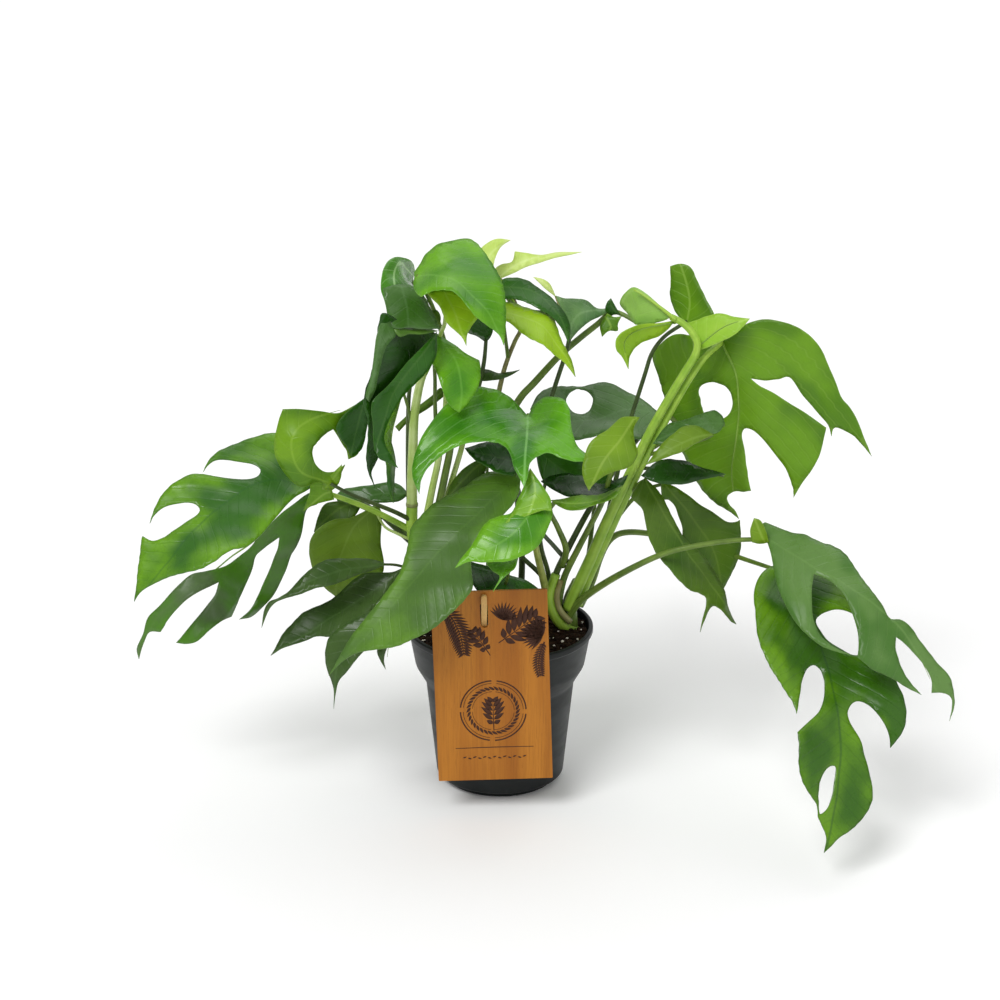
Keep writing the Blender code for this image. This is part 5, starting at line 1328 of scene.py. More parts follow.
def blade(shape):
    """A leaf's points in mm, faces, slots (0 towards the viewer, 1 away) and vein places for its material."""
    places, triangles, loops = sheet(shape)
    middle = on_blade(shape, places)
    normals = front_normals(shape, places)
    flat_rib = curve([place[:2] for place in shape["rib"]])
    from_rib, along = distance_to(middle, on_blade(shape, flat_rib), closed=False)
    across = from_rib * side_of(places, flat_rib)
    from_edge = np.min([distance_to(places, loop)[0] for loop in loops], axis=0) * MM_PER_PLACE
    middle = middle + normals * relief(shape, along, across)[:, None]
    triangles = facing(triangles, middle, normals[triangles[:, 0]])
    out = normals * BLADE_THICKNESS / 2
    faces, slots = closed_faces(triangles, len(middle))
    veins = np.column_stack([along, across, from_edge])
    return np.vstack([middle + out, middle - out]), faces, slots, np.vstack([veins, veins])


def tube(route, radii, sides):
    """Points, faces and cane places of a closed tube along a route in mm, with as little twist as it can."""
    steps = np.diff(route, axis=0)
    steps /= np.linalg.norm(steps, axis=1)[:, None]
    forward = np.vstack([steps[:1], steps[:-1] + steps[1:], steps[-1:]])
    forward /= np.linalg.norm(forward, axis=1)[:, None]
    side = np.cross(forward[0], (0.3, 0.2, 0.9))
    turns = np.arange(sides) * 2 * math.pi / sides
    points = []
    canes = []
    travelled = 0.0
    for number, (centre, way, radius) in enumerate(zip(route, forward, radii)):
        side = side - way * (side @ way)
        side = side / np.linalg.norm(side)
        other = np.cross(way, side)
        if number:
            travelled += np.linalg.norm(route[number] - route[number - 1])
        for turn in turns:
            points.append(centre + (side * math.cos(turn) + other * math.sin(turn)) * radius)
            canes.append((travelled, turn, 0.0))
    faces = [tuple(range(sides - 1, -1, -1))]
    for ring in range(len(route) - 1):
        for k in range(sides):
            near = ring * sides + k
            after = ring * sides + (k + 1) % sides
            faces.append((near, after, after + sides, near + sides))
    last = (len(route) - 1) * sides
    faces.append(tuple(range(last, last + sides)))
    return np.array(points), faces, np.array(canes)


def turned(name, profile, sides, materials):
    """A closed body turned about the Z axis from a profile in mm that starts and ends on it."""
    points = [(0.0, 0.0, profile[0][1])]
    for radius, height in profile[1:-1]:
        for k in range(sides):
            turn = 2 * math.pi * k / sides
            points.append((radius * math.cos(turn), radius * math.sin(turn), height))
    points.append((0.0, 0.0, profile[-1][1]))
    rings = len(profile) - 2
    faces = []
    for k in range(sides):
        after = (k + 1) % sides
        faces.append((0, 1 + after, 1 + k))
        for ring in range(rings - 1):
            low = 1 + ring * sides
            faces.append((low + k, low + after, low + sides + after, low + sides + k))
        last = 1 + (rings - 1) * sides
        faces.append((last + k, last + after, len(points) - 1))
    return new_object(name, points, faces, materials)


def rounded(profile, radius, steps=4):
    """A profile whose corners are rounded off."""
    out = [profile[0]]
    for before, here, after in zip(profile[:-2], profile[1:-1], profile[2:]):
        before, here, after = (np.array(p, float) for p in (before, here, after))
        back = np.linalg.norm(before - here)
        on = np.linalg.norm(after - here)
        reach = min(radius, back * 0.45, on * 0.45)
        start = here + (before - here) / back * reach
        end = here + (after - here) / on * reach
        for k in range(steps + 1):
            t = k / steps
            out.append(tuple((1 - t) ** 2 * start + 2 * t * (1 - t) * here + t * t * end))
    return out + [profile[-1]]


def flat_piece(loop, holes, low, high):
    """Points and faces of a flat piece in the XZ plane between two depths."""
    places, triangles = triangulated([np.asarray(ring, float) for ring in (loop, *holes)])
    front, back = (np.insert(places, 1, depth, axis=1) for depth in (low, high))
    triangles = facing(triangles, front, (0.0, -1.0, 0.0))
    return np.vstack([front, back]), closed_faces(triangles, len(places))[0]


def new_object(name, points, faces, materials, slots=None, smooth=True):
    """An object from points in mm."""
    mesh = bpy.data.meshes.new(name)
    mesh.from_pydata([tuple(float(c) * MM for c in point) for point in points], [], faces)
    for material in materials:
        mesh.materials.append(material)
    if slots is not None:
        mesh.polygons.foreach_set("material_index", np.asarray(slots, np.int32))
    mesh.polygons.foreach_set("use_smooth", np.full(len(mesh.polygons), smooth))
    mesh.update()
    thing = bpy.data.objects.new(name, mesh)
    bpy.context.scene.collection.objects.link(thing)
    return thing


def keep_places(thing, name, values):
    """Keep three numbers for every vertex, which the materials read by name."""
    layer = thing.data.attributes.new(name, "FLOAT_VECTOR", "POINT")
    layer.data.foreach_set("vector", np.asarray(values, np.float32).ravel())


def move(thing, place):
    """Move an object's points by a matrix that is meant for mm."""
    thing.data.transform(METRES @ place @ METRES.inverted())


def settle(thing, slot, *nodes):
    """Tie a finished piece to the frame, in place of the nodes that it shows."""
    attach(thing, "root")
    if nodes:
        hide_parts(*nodes)


def slot_of(node):
    """The record's material slot of a node."""
    return next(part["material_slot"] for part in frame["record"]["subparts"] if part["node"] == node)


class Bundle:
    """Meshes gathered into one object, each with its own material slot."""

    def __init__(self):
        self.points = []
        self.faces = []
        self.slots = []
        self.canes = []
        self.count = 0

    def add(self, points, faces, slot, canes=None):
        """Take in one more mesh."""
        self.points.append(points)
        self.faces += [tuple(int(i) + self.count for i in face) for face in faces]
        self.slots += [slot] * len(faces)
        self.canes.append(np.zeros((len(points), 3)) if canes is None else canes)
        self.count += len(points)

    def build(self, name, materials):
        """The object that holds all of them."""
        thing = new_object(name, np.vstack(self.points), self.faces, materials, self.slots)
        keep_places(thing, "cane", np.vstack(self.canes))
        return thing


class Shades:
    """A short way to build a procedural material. Noise scales are per metre, and shares go from 0 to 1."""

    def __init__(self, name):
        self.material = bpy.data.materials.new(name)
        self.material.use_nodes = True
        self.tree = self.material.node_tree
        self.shader = self.tree.nodes["Principled BSDF"]

    def feed(self, node, socket, value):
        """Link a node's output to a socket, or set a plain value there."""
        if hasattr(value, "is_output"):
            self.tree.links.new(value, node.inputs[socket])
        else:
            node.inputs[socket].default_value = value

    def maths(self, operation, *values):
        """One sum, worked out at every place."""
        node = self.tree.nodes.new("ShaderNodeMath")
        node.operation = operation
        for socket, value in enumerate(values):
            self.feed(node, socket, value)
        return node.outputs[0]

    def add(self, first, second):
        return self.maths("ADD", first, second)

    def less(self, first, second):
        return self.maths("SUBTRACT", first, second)

    def times(self, first, second):
        return self.maths("MULTIPLY", first, second)

    def blend(self, share, first, second):
        """The first colour with a share of the second."""
        node = self.tree.nodes.new("ShaderNodeMix")
        node.data_type = "RGBA"
        for socket, value in ((0, share), (6, first), (7, second)):
            self.feed(node, socket, value)
        return node.outputs[2]

    def noise(self, scale, detail=3.0, rough=0.55, stretch=None):
        """Soft noise over the object, drawn out where a stretch is less than 1."""
        where = self.tree.nodes.new("ShaderNodeTexCoord").outputs["Object"]
        if stretch:
            mapping = self.tree.nodes.new("ShaderNodeMapping")
            self.feed(mapping, "Vector", where)
            self.feed(mapping, "Scale", stretch)
            where = mapping.outputs[0]
        node = self.tree.nodes.new("ShaderNodeTexNoise")
        self.feed(node, "Vector", where)
        self.feed(node, "Scale", scale)
        self.feed(node, "Detail", detail)
        self.feed(node, "Roughness", rough)
        return node.outputs[0]

    def ramp(self, value, low, high, to_low=0.0, to_high=1.0):
        """A smooth step of a value between two limits."""
        node = self.tree.nodes.new("ShaderNodeMapRange")
        node.interpolation_type = "SMOOTHSTEP"
        for socket, number in enumerate((value, low, high, to_low, to_high)):
            self.feed(node, socket, number)
        return node.outputs[0]

    def stripes(self, value, gap, width):
        """Thin lines wherever a value in mm passes a multiple of the gap."""
        return self.ramp(self.maths("PINGPONG", value, gap / 2), 0.0, width, 1.0, 0.0)

    def kept(self, name):
        """The three numbers that a mesh keeps at its vertices under a name."""
        node = self.tree.nodes.new("ShaderNodeAttribute")
        node.attribute_name = name
        parts = self.tree.nodes.new("ShaderNodeSeparateXYZ")
        self.feed(parts, 0, node.outputs["Vector"])
        return parts.outputs

    def bump(self, height, strength, distance):
        """Fine relief, with its height in metres."""
        node = self.tree.nodes.new("ShaderNodeBump")
        self.feed(node, "Strength", strength)
        self.feed(node, "Distance", distance)
        self.feed(node, "Height", height)
        self.feed(self.shader, "Normal", node.outputs[0])

    def done(self, colour, rough, specular):
        """The finished material."""
        self.feed(self.shader, "Base Color", colour)
        self.feed(self.shader, "Roughness", rough)
        self.feed(self.shader, "Specular IOR Level", specular)
        return self.material


def blade_skin(name, tone, away=False):
    """A leaf's skin: a pale midrib, side veins that sweep forward, drifts of colour and a thin pale edge,
    some of them partly painted light.
    """
    *colours, strength, rough = TONES[tone]
    main, drift, vein = (screen(*colour) for colour in colours)
    look = Shades(name)
    along, across, edge = look.kept("vein")
    aside = look.maths("ABSOLUTE", across)
    lead = look.less(along, look.times(aside, VEIN_SWEEP))
    lead = look.add(lead, look.times(look.noise(60.0), VEIN_WANDER))
    side_vein = look.stripes(lead, SIDE_VEIN_GAP, SIDE_VEIN_WIDTH)
    fine_vein = look.stripes(lead, SIDE_VEIN_GAP / 4, FINE_VEIN_WIDTH)
    midrib = look.ramp(aside, *MIDRIB_WIDTHS, 1.0, 0.0)
    lines = look.maths("MAXIMUM", look.times(side_vein, 0.35), look.times(fine_vein, 0.06))
    lines = look.maths("MAXIMUM", lines, midrib)
    margin = look.ramp(edge, 0.0, MARGIN_WIDTH, 0.07, -0.06)
    patches = look.add(look.noise(22.0, 2.0), margin)
    grain = look.noise(420.0, 4.0, 0.6)
    # Drifts between the main and second colour; on the mid, lower and centre tones the much lighter second
    # colour is partly painted light, patches where light falls
    colour = look.blend(look.ramp(patches, 0.42, 0.68), main, drift)
    colour = look.blend(look.times(look.ramp(grain, 0.42, 0.75), 0.22), colour, darker(main, 0.72))
    # Veins in their own colour; on the centre and dome tones the strong pale veins are also painted
    # highlight, glints along them
    colour = look.blend(look.times(lines, strength), colour, vein)
    # A thin pale line along the edge: the margin's own paler colour and painted highlight where the edge
    # catches the light
    rim = look.ramp(edge, 0.0, EDGE_LINE_WIDTH, 1.0, 0.0)
    colour = look.blend(look.times(rim, 0.25), colour, vein)
    if away:
        colour = look.blend(0.35, colour, vein)
        colour = look.blend(0.2, colour, UNDERSIDE_GREY)
        rough += UNDERSIDE_ROUGHER
    groove = 0.1 if tone in SMOOTH_TONES else 0.6
    look.bump(look.less(look.times(grain, 0.2), look.times(side_vein, groove)), 0.4, 0.0004)
    gloss = look.ramp(look.noise(90.0), 0.3, 0.7, rough - 0.05, rough + 0.08)
    return look.done(colour, gloss, 0.3)


def green_skin(name, colour, drift):
    """The skin of stalks and midribs: streaks along them and fine pores."""
    look = Shades(name)
    turn = look.kept("cane")[1]
    streak = look.maths("SINE", look.times(turn, CANE_STREAKS))
    streak = look.times(look.add(streak, 1.0), 0.5)
    patch = look.ramp(look.noise(70.0, 3.0), 0.35, 0.65)
    mixed = look.blend(patch, screen(*colour), screen(*drift))
    mixed = look.blend(look.times(streak, 0.3), mixed, darker(screen(*drift), 0.7))
    look.bump(look.add(look.times(streak, 0.5), look.noise(800.0, 3.0)), 0.3, 0.0003)
    return look.done(mixed, 0.42, 0.4)


def pot_skin():
    """Thin black nursery plastic: a satin skin with faint flow marks and scuffs."""
    look = Shades("pot_plastic")
    marks = look.noise(30.0, 4.0, 0.6, stretch=(1.0, 1.0, 3.0))
    grain = look.noise(900.0, 3.0, 0.6)
    scuffs = look.ramp(look.noise(45.0, 6.0, 0.75, stretch=(1.0, 1.0, 0.25)), 0.6, 0.75)
    colour = look.blend(look.ramp(marks, 0.35, 0.7), *(screen(*shade) for shade in PLASTIC))
    colour = look.blend(look.times(scuffs, 0.35), colour, screen(*SCUFF))
    look.bump(look.add(look.times(grain, 0.4), marks), 0.15, 0.0003)
    return look.done(colour, look.ramp(marks, 0.3, 0.7, 0.4, 0.52), 0.28)


def earth_skin():
    """Damp potting mix: clods and hollows."""
    look = Shades("soil_mix")
    clods = look.noise(220.0, 6.0, 0.7)
    look.bump(clods, 0.9, 0.0012)
    colour = look.blend(look.ramp(clods, 0.35, 0.7), *(screen(*shade) for shade in EARTH))
    return look.done(colour, 0.95, 0.15)


def perlite_skin():
    """White, finely pitted grains."""
    look = Shades("perlite")
    spots = look.noise(700.0, 4.0)
    look.bump(spots, 0.5, 0.0004)
    return look.done(look.blend(spots, *(screen(*shade) for shade in PERLITE_WHITE)), 0.85, 0.2)


def wood_skin(name, light, dark, grain_gap, rough):
    """Upright wood grain: broad bands, fine fibres and short pores."""
    look = Shades(name)
    bands = look.noise(grain_gap, 3.0, 0.55, stretch=(1.0, 1.0, 0.06))
    fibres = look.noise(900.0, 4.0, 0.65, stretch=(1.0, 1.0, 0.02))
    pores = look.ramp(look.noise(1300.0, 2.0, 0.5, stretch=(1.0, 1.0, 0.05)), 0.6, 0.72)
    colour = look.blend(look.ramp(bands, 0.32, 0.68), screen(*light), screen(*dark))
    shade = darker(screen(*dark), 0.62)
    colour = look.blend(look.times(look.ramp(fibres, 0.4, 0.75), 0.35), colour, shade)
    colour = look.blend(look.times(pores, 0.3), colour, shade)
    look.bump(look.less(look.times(fibres, 0.6), pores), 0.25, 0.0003)
    return look.done(colour, rough, 0.3)


def ink_skin():
    """Brown ink that has sunk into the grain."""
    look = Shades("board_ink")
    return look.done(look.blend(look.noise(500.0), *(screen(*shade) for shade in INK)), 0.6, 0.25)


def midrib(shape):
    """A blade's raised midrib as a tube that thins out towards the tip."""
    flat_rib = paced(curve([place[:2] for place in shape["rib"]]), RIB_STEP)
    flat_rib = flat_rib[: max(4, int(len(flat_rib) * RIB_SHARE))]
    route = on_blade(shape, flat_rib)
    lift = swell(shape, travelled_along(route), 0.0) + shape["stalk_side"] * RIB_PROUD
    route = route + front_normals(shape, flat_rib) * lift[:, None]
    size = min(1.0, len(flat_rib) / RIB_FULL_STEPS)
    radii = RIB_TIP + (RIB_RADIUS * size) * (1 - np.linspace(0, 1, len(route))) ** RIB_TAPER
    return tube(route, radii, RIB_SIDES)


def build_blade(name, shape, materials):
    """One blade with its midrib, and what its materials read."""
    points, faces, slots, veins = blade(shape)
    rib_points, rib_faces, rib_canes = midrib(shape)
    start = len(points)
    faces += [tuple(i + start for i in face) for face in rib_faces]
    slots += [2] * len(rib_faces)
    thing = new_object(name, np.vstack([points, rib_points]), faces, materials, slots)
    keep_places(thing, "vein", np.vstack([veins, np.zeros((len(rib_points), 3))]))
    keep_places(thing, "cane", np.vstack([np.zeros((start, 3)), rib_canes]))
    return thing


def build_blades(rib_skin):
    """All the leaves, their folds and the dark sheets of painted shade. A fold or a shade sheet takes the
    place of no node.
    """
    skins = {}
    for tone in TONES:
        skins[tone] = (blade_skin("blade_" + tone, tone), blade_skin("blade_" + tone + "_away", tone, True))
    for node, shape in LEAVES.items():
        leaf_piece = build_blade(node.replace("leaf_", "blade_"), shape, [*skins[shape["tone"]], rib_skin])
        settle(leaf_piece, slot_of(node), node)
    for name, shape in FOLDS_AND_PAINTED_SHADE.items():
        settle(build_blade(name, shape, [*skins[shape["tone"]], rib_skin]), "leaf")


def stalk_route(node, places):
    """A drawn route in mm, which ends against a blade's base where it carries one."""
    route = on_ray(places)
    if node is None:
        return route
    shape = LEAVES[node]
    foot = [shape["rib"][0][:2]]
    base = on_blade(shape, foot) + front_normals(shape, foot) * shape["stalk_side"] * STALK_SEAT
    return np.vstack([route, base])


def build_canes(skins):
    """The three stems, each with its stalks."""
    kinds = list(skins)
    for name, tubes in CANES.items():
        bundle = Bundle()
        for kind, thick, thin, node, places in tubes:
            route = paced(curve(stalk_route(node, places)), TUBE_STEP)
            radii = thick + (thin - thick) * np.linspace(0, 1, len(route))
            points, faces, canes = tube(route, radii, TUBE_SIDES)
            bundle.add(points, faces, kinds.index(kind), canes)
        settle(bundle.build("cane_" + name, list(skins.values())), "stem", "stem_" + name)


def build_pot():
    """The nursery pot: a hub and a ring underfoot, a tapered body, a step, a band, a rim and its inside."""
    side = [
        (BODY_FOOT_RADIUS, FOOT_HEIGHT + BODY_FOOT_BEVEL),
        (BODY_TOP_RADIUS, POT_TOP - STEP_DROP),
        (BAND_RADIUS, POT_TOP - BAND_DROP),
        (BAND_TOP_RADIUS, POT_TOP - LIP_DROP),
    ]
    profile = [
        (0.0, 0.0),
        (HUB_RADIUS, 0.0),
        (HUB_RADIUS, FOOT_HEIGHT),
        (FOOT_INNER_RADIUS, FOOT_HEIGHT),
        (FOOT_INNER_RADIUS, 0.0),
        (FOOT_RADIUS, 0.0),
        (FOOT_RADIUS, FOOT_HEIGHT),
        (BODY_FOOT_RADIUS - BODY_FOOT_BEVEL, FOOT_HEIGHT),
        *side,
        (RIM_RADIUS, POT_TOP - RIM_DROP),
        (RIM_RADIUS, POT_TOP - RIM_CHAMFER),
        (RIM_RADIUS - RIM_TOP_INSET, POT_TOP),
        (BAND_TOP_RADIUS - POT_WALL, POT_TOP),
        *[(radius - POT_WALL, height) for radius, height in side[:0:-1]],
        (BODY_FOOT_RADIUS - POT_WALL, POT_FLOOR),
        (0.0, POT_FLOOR),
    ]
    pot = turned("pot_shell", rounded(profile, POT_ROUNDING), POT_SIDES, [pot_skin()])
    settle(pot, "pot", "pot")


def soil_height(x, y):
    """The lumpy top of the soil, a little higher in the middle."""
    radius = np.hypot(x, y) / BAND_TOP_RADIUS
    lumps = np.sin(0.31 * x + 1.0) * np.cos(0.27 * y) + 0.6 * np.sin(0.55 * y - 0.23 * x + 2.0)
    return SOIL_TOP + SOIL_MOUND * (1 - radius ** 2) + SOIL_LUMP * lumps * np.minimum(1.0, 2 * (1 - radius))


def soil_body():
    """Points and faces of the soil: a rough top in rings, a short side and a flat underside."""
    grid = [(0.0, 0.0)]
    for ring in range(1, SOIL_RINGS + 1):
        for k in range(SOIL_SIDES):
            turn = 2 * math.pi * k / SOIL_SIDES
            reach = SOIL_RADIUS * ring / SOIL_RINGS
            grid.append((reach * math.cos(turn), reach * math.sin(turn)))
    grid = np.array(grid)
    within = np.hypot(grid[:, 0], grid[:, 1]) < SOIL_RADIUS - 0.5
    rough = dice.normal(0.0, SOIL_ROUGHNESS, len(grid)) * within
    top = np.column_stack([grid, soil_height(grid[:, 0], grid[:, 1]) + rough])
    faces = [(0, 1 + k, 1 + (k + 1) % SOIL_SIDES) for k in range(SOIL_SIDES)]
    for ring in range(SOIL_RINGS - 1):
        for k in range(SOIL_SIDES):
            near = 1 + ring * SOIL_SIDES + k
            after = 1 + ring * SOIL_SIDES + (k + 1) % SOIL_SIDES
            faces.append((near, near + SOIL_SIDES, after + SOIL_SIDES, after))
    low = len(top)
    depth = SOIL_TOP - SOIL_DEPTH
    foot = np.column_stack([grid[-SOIL_SIDES:] * SOIL_FOOT_SHARE, np.full(SOIL_SIDES, depth)])
    points = np.vstack([top, foot, [(0, 0, depth)]])
    for k in range(SOIL_SIDES):
        after = (k + 1) % SOIL_SIDES
        faces.append((low - SOIL_SIDES + k, low + k, low + after, low - SOIL_SIDES + after))
        faces.append((low + after, low + k, len(points) - 1))
    return points, faces


def crumb(size, squash):
    """Points and faces of one small angular lump."""
    points = np.array([
        (1, 0, 0), (0, 1, 0), (-1, 0, 0), (0, -1, 0), (0, 0, 1), (0, 0, -1),
        (0.62, 0.62, 0.45), (-0.62, 0.62, 0.45), (-0.62, -0.62, 0.45), (0.62, -0.62, 0.45),
    ], float)
    points *= dice.uniform(0.75, 1.2, points.shape)
    points[:, 2] *= squash
    faces = [
        (0, 1, 6), (1, 2, 7), (2, 3, 8), (3, 0, 9), (0, 6, 9), (1, 7, 6), (2, 8, 7), (3, 9, 8),
        (4, 9, 6), (4, 6, 7), (4, 7, 8), (4, 8, 9), (5, 1, 0), (5, 2, 1), (5, 3, 2), (5, 0, 3),
    ]
    spin = Matrix.Rotation(dice.uniform(0, math.tau), 3, "Z")
    turn = spin @ Matrix.Rotation(dice.uniform(-0.7, 0.7), 3, "X")
    return points @ np.array(turn).T * size, faces


def scatter(bundle, slot, count, radius, sizes, large, squash, proud):
    """Lumps strewn evenly over the soil."""
    for _ in range(count):
        reach = radius * math.sqrt(dice.uniform(0, 1))
        turn = dice.uniform(0, math.tau)
        x, y = reach * math.cos(turn), reach * math.sin(turn)
        size = dice.uniform(*sizes)
        if large and dice.uniform() <= large[0]:
            size *= large[1]
        points, faces = crumb(size, squash)
        bundle.add(points + (x, y, float(soil_height(x, y)) + size * proud), faces, slot)


def build_soil():
    """The potting mix with its crumbs and its white grains."""
    bundle = Bundle()
    bundle.add(*soil_body(), 0)
    scatter(bundle, 0, **CRUMBS)
    scatter(bundle, 1, **PERLITE)
    settle(bundle.build("soil_mix", [earth_skin(), perlite_skin()]), "soil", "soil")


def board_y(height):
    """Where the leaning board's middle plane lies at a height: it rests against the front of the rim."""
    return -RIM_RADIUS - 2 * FIT - BOARD_THICKNESS / 2 - math.tan(BOARD_LEAN) * (height - POT_TOP)


def board_place():
    """The matrix that moves a thing from the board's own plane, whose front faces -Y, to its place in mm."""
    centre = Vector((BOARD_CENTRE_X, board_y(BOARD_CENTRE_Z), BOARD_CENTRE_Z))
    lean = Matrix.Rotation(BOARD_LEAN, 4, "X")
    return Matrix.Translation(centre) @ lean @ Matrix.Rotation(BOARD_TURN, 4, "Y")


def peg_crossing():
    """Where the peg goes through the board."""
    return Vector((STAKE_X, board_y(STAKE_CROSSING_Z), STAKE_CROSSING_Z))


def slot_loop():
    """The slot's outline on the board, with round ends."""
    centre = board_place().inverted() @ peg_crossing()
    half = SLOT_WIDTH / 2
    tall = SLOT_HEIGHT / 2 - half
    angles = np.linspace(0, math.pi, SLOT_STEPS)
    return np.vstack([
        np.column_stack([centre.x + half * np.cos(angles), centre.z + tall + half * np.sin(angles)]),
        np.column_stack([centre.x - half * np.cos(angles), centre.z - tall - half * np.sin(angles)]),
    ])


def wooden_piece(name, loop, holes, thickness, skin, place):
    """A flat-sided piece in the XZ plane, moved to its place."""
    points, faces = flat_piece(loop, holes, -thickness / 2, thickness / 2)
    piece = new_object(name, points, faces, [skin], smooth=False)
    move(piece, place)
    return piece


def build_board(slot):
    """The board, with its corners taken off a little and its slot."""
    wide, high = BOARD_WIDTH / 2, BOARD_HEIGHT / 2
    loop = [
        (-wide, -high + BOARD_CORNER), (-wide + BOARD_CORNER, -high),
        (wide - BOARD_CORNER, -high), (wide, -high + BOARD_CORNER),
        (wide, high - BOARD_CORNER), (wide - BOARD_CORNER, high),
        (-wide + BOARD_CORNER, high), (-wide, high - BOARD_CORNER),
    ]
    veneer = wood_skin("board_veneer", *VENEER, 60.0, 0.5)
    board = wooden_piece("board_plate", loop, [slot], BOARD_THICKNESS, veneer, board_place())
    settle(board, "board", "label_board")


def stroke(points, widths):
    """The outline of a line drawn through points, with a width at each."""
    dense = curve(points, 6)
    widths = np.interp(np.linspace(0, 1, len(dense)), np.linspace(0, 1, len(widths)), widths)
    way = np.gradient(dense, axis=0)
    way /= np.linalg.norm(way, axis=1)[:, None] + 1e-9
    out = np.column_stack([-way[:, 1], way[:, 0]]) * widths[:, None] / 2
    return np.vstack([dense + out, (dense - out)[::-1]])


def petal(base, angle, length, width):
    """The outline of a simple pointed leaf or petal."""
    t = np.linspace(0, 1, 9)
    half = width / 2 * np.sin(math.pi * t ** 0.8)
    way = np.array([math.cos(angle), math.sin(angle)])
    out = np.array([-way[1], way[0]])
    middle = np.asarray(base, float) + t[:, None] * length * way
    return np.vstack([middle + half[:, None] * out, (middle - half[:, None] * out)[-2:0:-1]])


def fern(points, longest, gap=2.0):
    """A fern frond: a curved stem with narrow leaflets on both sides."""
    shapes = [stroke(points, [1.1, 0.9, 0.4])]
    dense = paced(curve(points), gap)
    for number, place in enumerate(dense[1:-1]):
        way = dense[number + 2] - dense[number]
        angle = math.atan2(way[1], way[0])
        reach = longest * math.sin(math.pi * (0.15 + 0.82 * number / len(dense))) + 1.2
        for side in (-1, 1):
            shapes.append(petal(place, angle + side * 0.95, reach, gap * 0.85))
    return shapes


def fan(base, middle, spread, count, length):
    """A fan palm's leaf: narrow blades that spread from one point."""
    shapes = []
    for number in range(count):
        share = number / (count - 1) - 0.5
        reach = length * (0.8 + 0.2 * math.cos(share * math.pi))
        shapes.append(petal(base, middle + spread * share, reach, length * 0.14))
    return shapes


def feathered_leaf(base, angle, length, width, count):
    """A broad leaf drawn as curved lobes on both sides of a bare midrib."""
    shapes = []
    base = np.asarray(base, float)
    way = np.array([math.cos(angle), math.sin(angle)])
    out = np.array([-way[1], way[0]])
    for number in range(count):
        share = number / count
        root = base + way * length * share
        reach = width / 2 * math.sin(math.pi * (0.16 + 0.8 * share)) * 1.3
        for side in (-1, 1):
            lean = angle + side * (1.05 - 0.5 * share)
            shapes.append(petal(root + out * side * 0.4, lean, reach, length / count))
    shapes.append(stroke([base - way * 5, base, base + way * length * 0.98], [0.5, 0.7, 0.3]))
    return shapes


def ring_shapes(radius, width):
    """A thin ring of the wreath as four arcs."""
    arcs = []
    for quarter in range(4):
        angles = np.linspace(quarter * math.pi / 2, (quarter + 1) * math.pi / 2, 11)[:-1] + 0.02
        places = np.column_stack([np.cos(angles), np.sin(angles)])
        arcs.append(stroke(WREATH_CENTRE + radius * places, [width, width]))
    return arcs


def wreath_shapes():
    """A ring of small leaves between thin rings, round one upright leaf."""
    shapes = [*ring_shapes(21.0, 0.9), *ring_shapes(19.2, 0.35)]
    for number in range(WREATH_LEAVES):
        angle = math.tau * number / WREATH_LEAVES
        root = WREATH_CENTRE + WREATH_RADIUS * np.array([math.cos(angle), math.sin(angle)])
        shapes.append(petal(root, angle + 1.1, 4.6, 1.7))
    return [*shapes, *ring_shapes(13.4, 0.3), *feathered_leaf((0, -26), math.pi / 2, 18, 15, 6)]


def rule_shapes():
    """A thin line, and under it a row of small leaves that lean to and fro."""
    shapes = [stroke(RULE, [0.4, 0.6, 0.4])]
    for number in range(-ROW_HALF_COUNT, ROW_HALF_COUNT + 1):
        shapes.append(petal((number * ROW_GAP - 1.3, ROW_HEIGHT), 0.35 * (-1) ** number, 2.6, 1.0))
    return shapes


def print_shapes():
    """The board's print: leaves of several plants above, a round wreath and a thin rule."""
    return [
        *feathered_leaf((9, 33), 0.62, 27, 23, 7),
        *fern([(-34, 58), (-25, 50), (-19, 36), (-17, 22)], 8.5),
        *fan((33, 34), 2.75, 2.6, 15, 15.0),
        *feathered_leaf((-3, 26), 2.1, 17, 12, 5),
        *fan((8, 46), 1.25, 2.3, 12, 13.0),
        *fern([(34, 30), (31, 22), (30, 14), (31, 6)], 4.0, 1.6),
        *wreath_shapes(),
        *rule_shapes(),
    ]


def build_print(slot):
    """The print as thin raised shapes, where they lie clear of the board's edges and its slot."""
    bundle = Bundle()
    front = -BOARD_THICKNESS / 2
    room = np.array([BOARD_WIDTH, BOARD_HEIGHT]) / 2 - PRINT_MARGIN
    for shape in print_shapes():
        on_board = (np.abs(shape).max(axis=0) < room).all()
        on_slot = distance_to(shape, slot)[0].min() < PRINT_SLOT_GAP or inside(shape, slot).any()
        if on_board and not on_slot:
            bundle.add(*flat_piece(shape, [], front - PRINT_PROUD, front + PRINT_PROUD), 0)
    drawing = bundle.build("board_print", [ink_skin()])
    move(drawing, board_place())
    settle(drawing, "board")


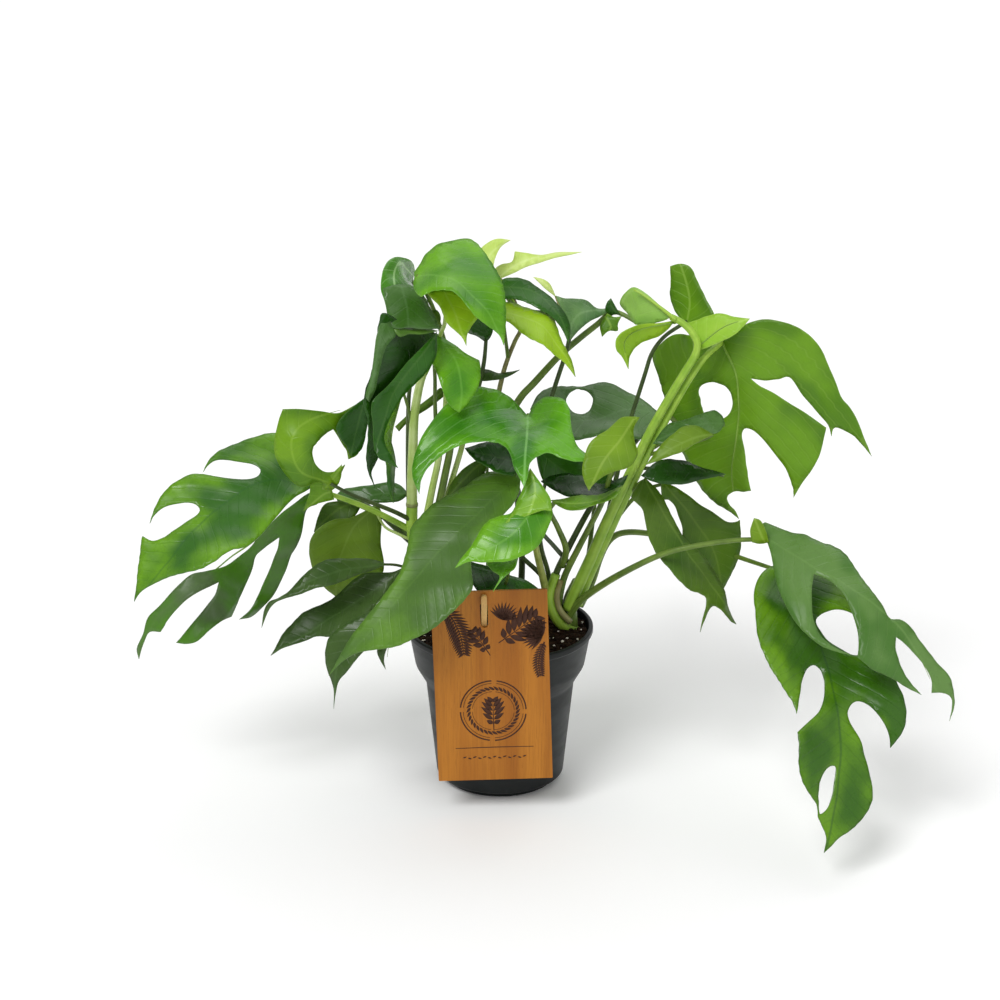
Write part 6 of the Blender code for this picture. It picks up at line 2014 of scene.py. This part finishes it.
def build_peg():
    """The pointed peg that goes through the board's slot and leans into the soil."""
    wide, long = STAKE_WIDTH / 2, STAKE_LENGTH / 2
    loop = [
        (-wide, -long + STAKE_POINT), (0.0, -long), (wide, -long + STAKE_POINT),
        (wide, long - STAKE_SHOULDER), (wide * 0.5, long - STAKE_TIP_DROP),
        (-wide * 0.5, long - STAKE_TIP_DROP), (-wide, long - STAKE_SHOULDER),
    ]
    place = Matrix.Translation(peg_crossing()) @ Matrix.Rotation(STAKE_TILT, 4, "X")
    place = place @ Matrix.Translation((0, 0, STAKE_PROUD - STAKE_LENGTH / 2))
    pale = wood_skin("peg_wood", *PEG_WOOD, 120.0, 0.6)
    settle(wooden_piece("stake_peg", loop, [], STAKE_THICKNESS, pale, place), "stake", "label_stake")


def build_label():
    """The board, its print and its peg."""
    slot = slot_loop()
    build_board(slot)
    build_print(slot)
    build_peg()


def build_floor():
    """A plain pale floor that runs far past the view."""
    white = Shades("stage_white").done(screen(*FLOOR_WHITE), 0.9, 0.1)
    turns = np.linspace(0, math.tau, FLOOR_SIDES, endpoint=False)
    points = [(FLOOR_RADIUS * math.cos(turn), FLOOR_RADIUS * math.sin(turn), 0.0) for turn in turns]
    floor = new_object("stage_floor", points, [tuple(range(FLOOR_SIDES))], [white])


def build_light():
    """A soft white surround and three broad lamps."""
    world = bpy.data.worlds.new("soft_white")
    bpy.context.scene.world = world
    world.use_nodes = True
    surround = world.node_tree.nodes["Background"]
    surround.inputs["Color"].default_value = (1.0, 1.0, 1.0, 1.0)
    surround.inputs["Strength"].default_value = WORLD_STRENGTH
    for name, way, spread, strength in SUNS:
        data = bpy.data.lights.new(name, "SUN")
        data.angle = math.radians(spread)
        data.energy = strength
        lamp = bpy.data.objects.new(name, data)
        lamp.rotation_euler = Vector(way).to_track_quat("Z", "Y").to_euler()
        bpy.context.scene.collection.objects.link(lamp)


def build_camera():
    """The viewer, a little above the plant."""
    data = bpy.data.cameras.new("viewer")
    data.sensor_width = SENSOR_WIDTH
    data.lens = FOCAL * SENSOR_WIDTH / PICTURE_SIDE
    data.clip_end = VIEW_END
    camera = bpy.data.objects.new("viewer", data)
    camera.location = tuple(EYE * MM)
    camera.rotation_euler = (math.pi / 2 - VIEW_PITCH, 0.0, 0.0)
    bpy.context.scene.collection.objects.link(camera)
    bpy.context.scene.camera = camera
    bpy.context.scene.view_settings.view_transform = "Standard"


def main():
    """The stage and the whole plant."""
    build_floor()
    build_light()
    build_camera()
    canes = {kind: green_skin("cane_" + kind, *colours) for kind, colours in CANE_TONES.items()}
    build_blades(canes["rib"])
    build_canes(canes)
    build_pot()
    build_soil()
    build_label()


main()
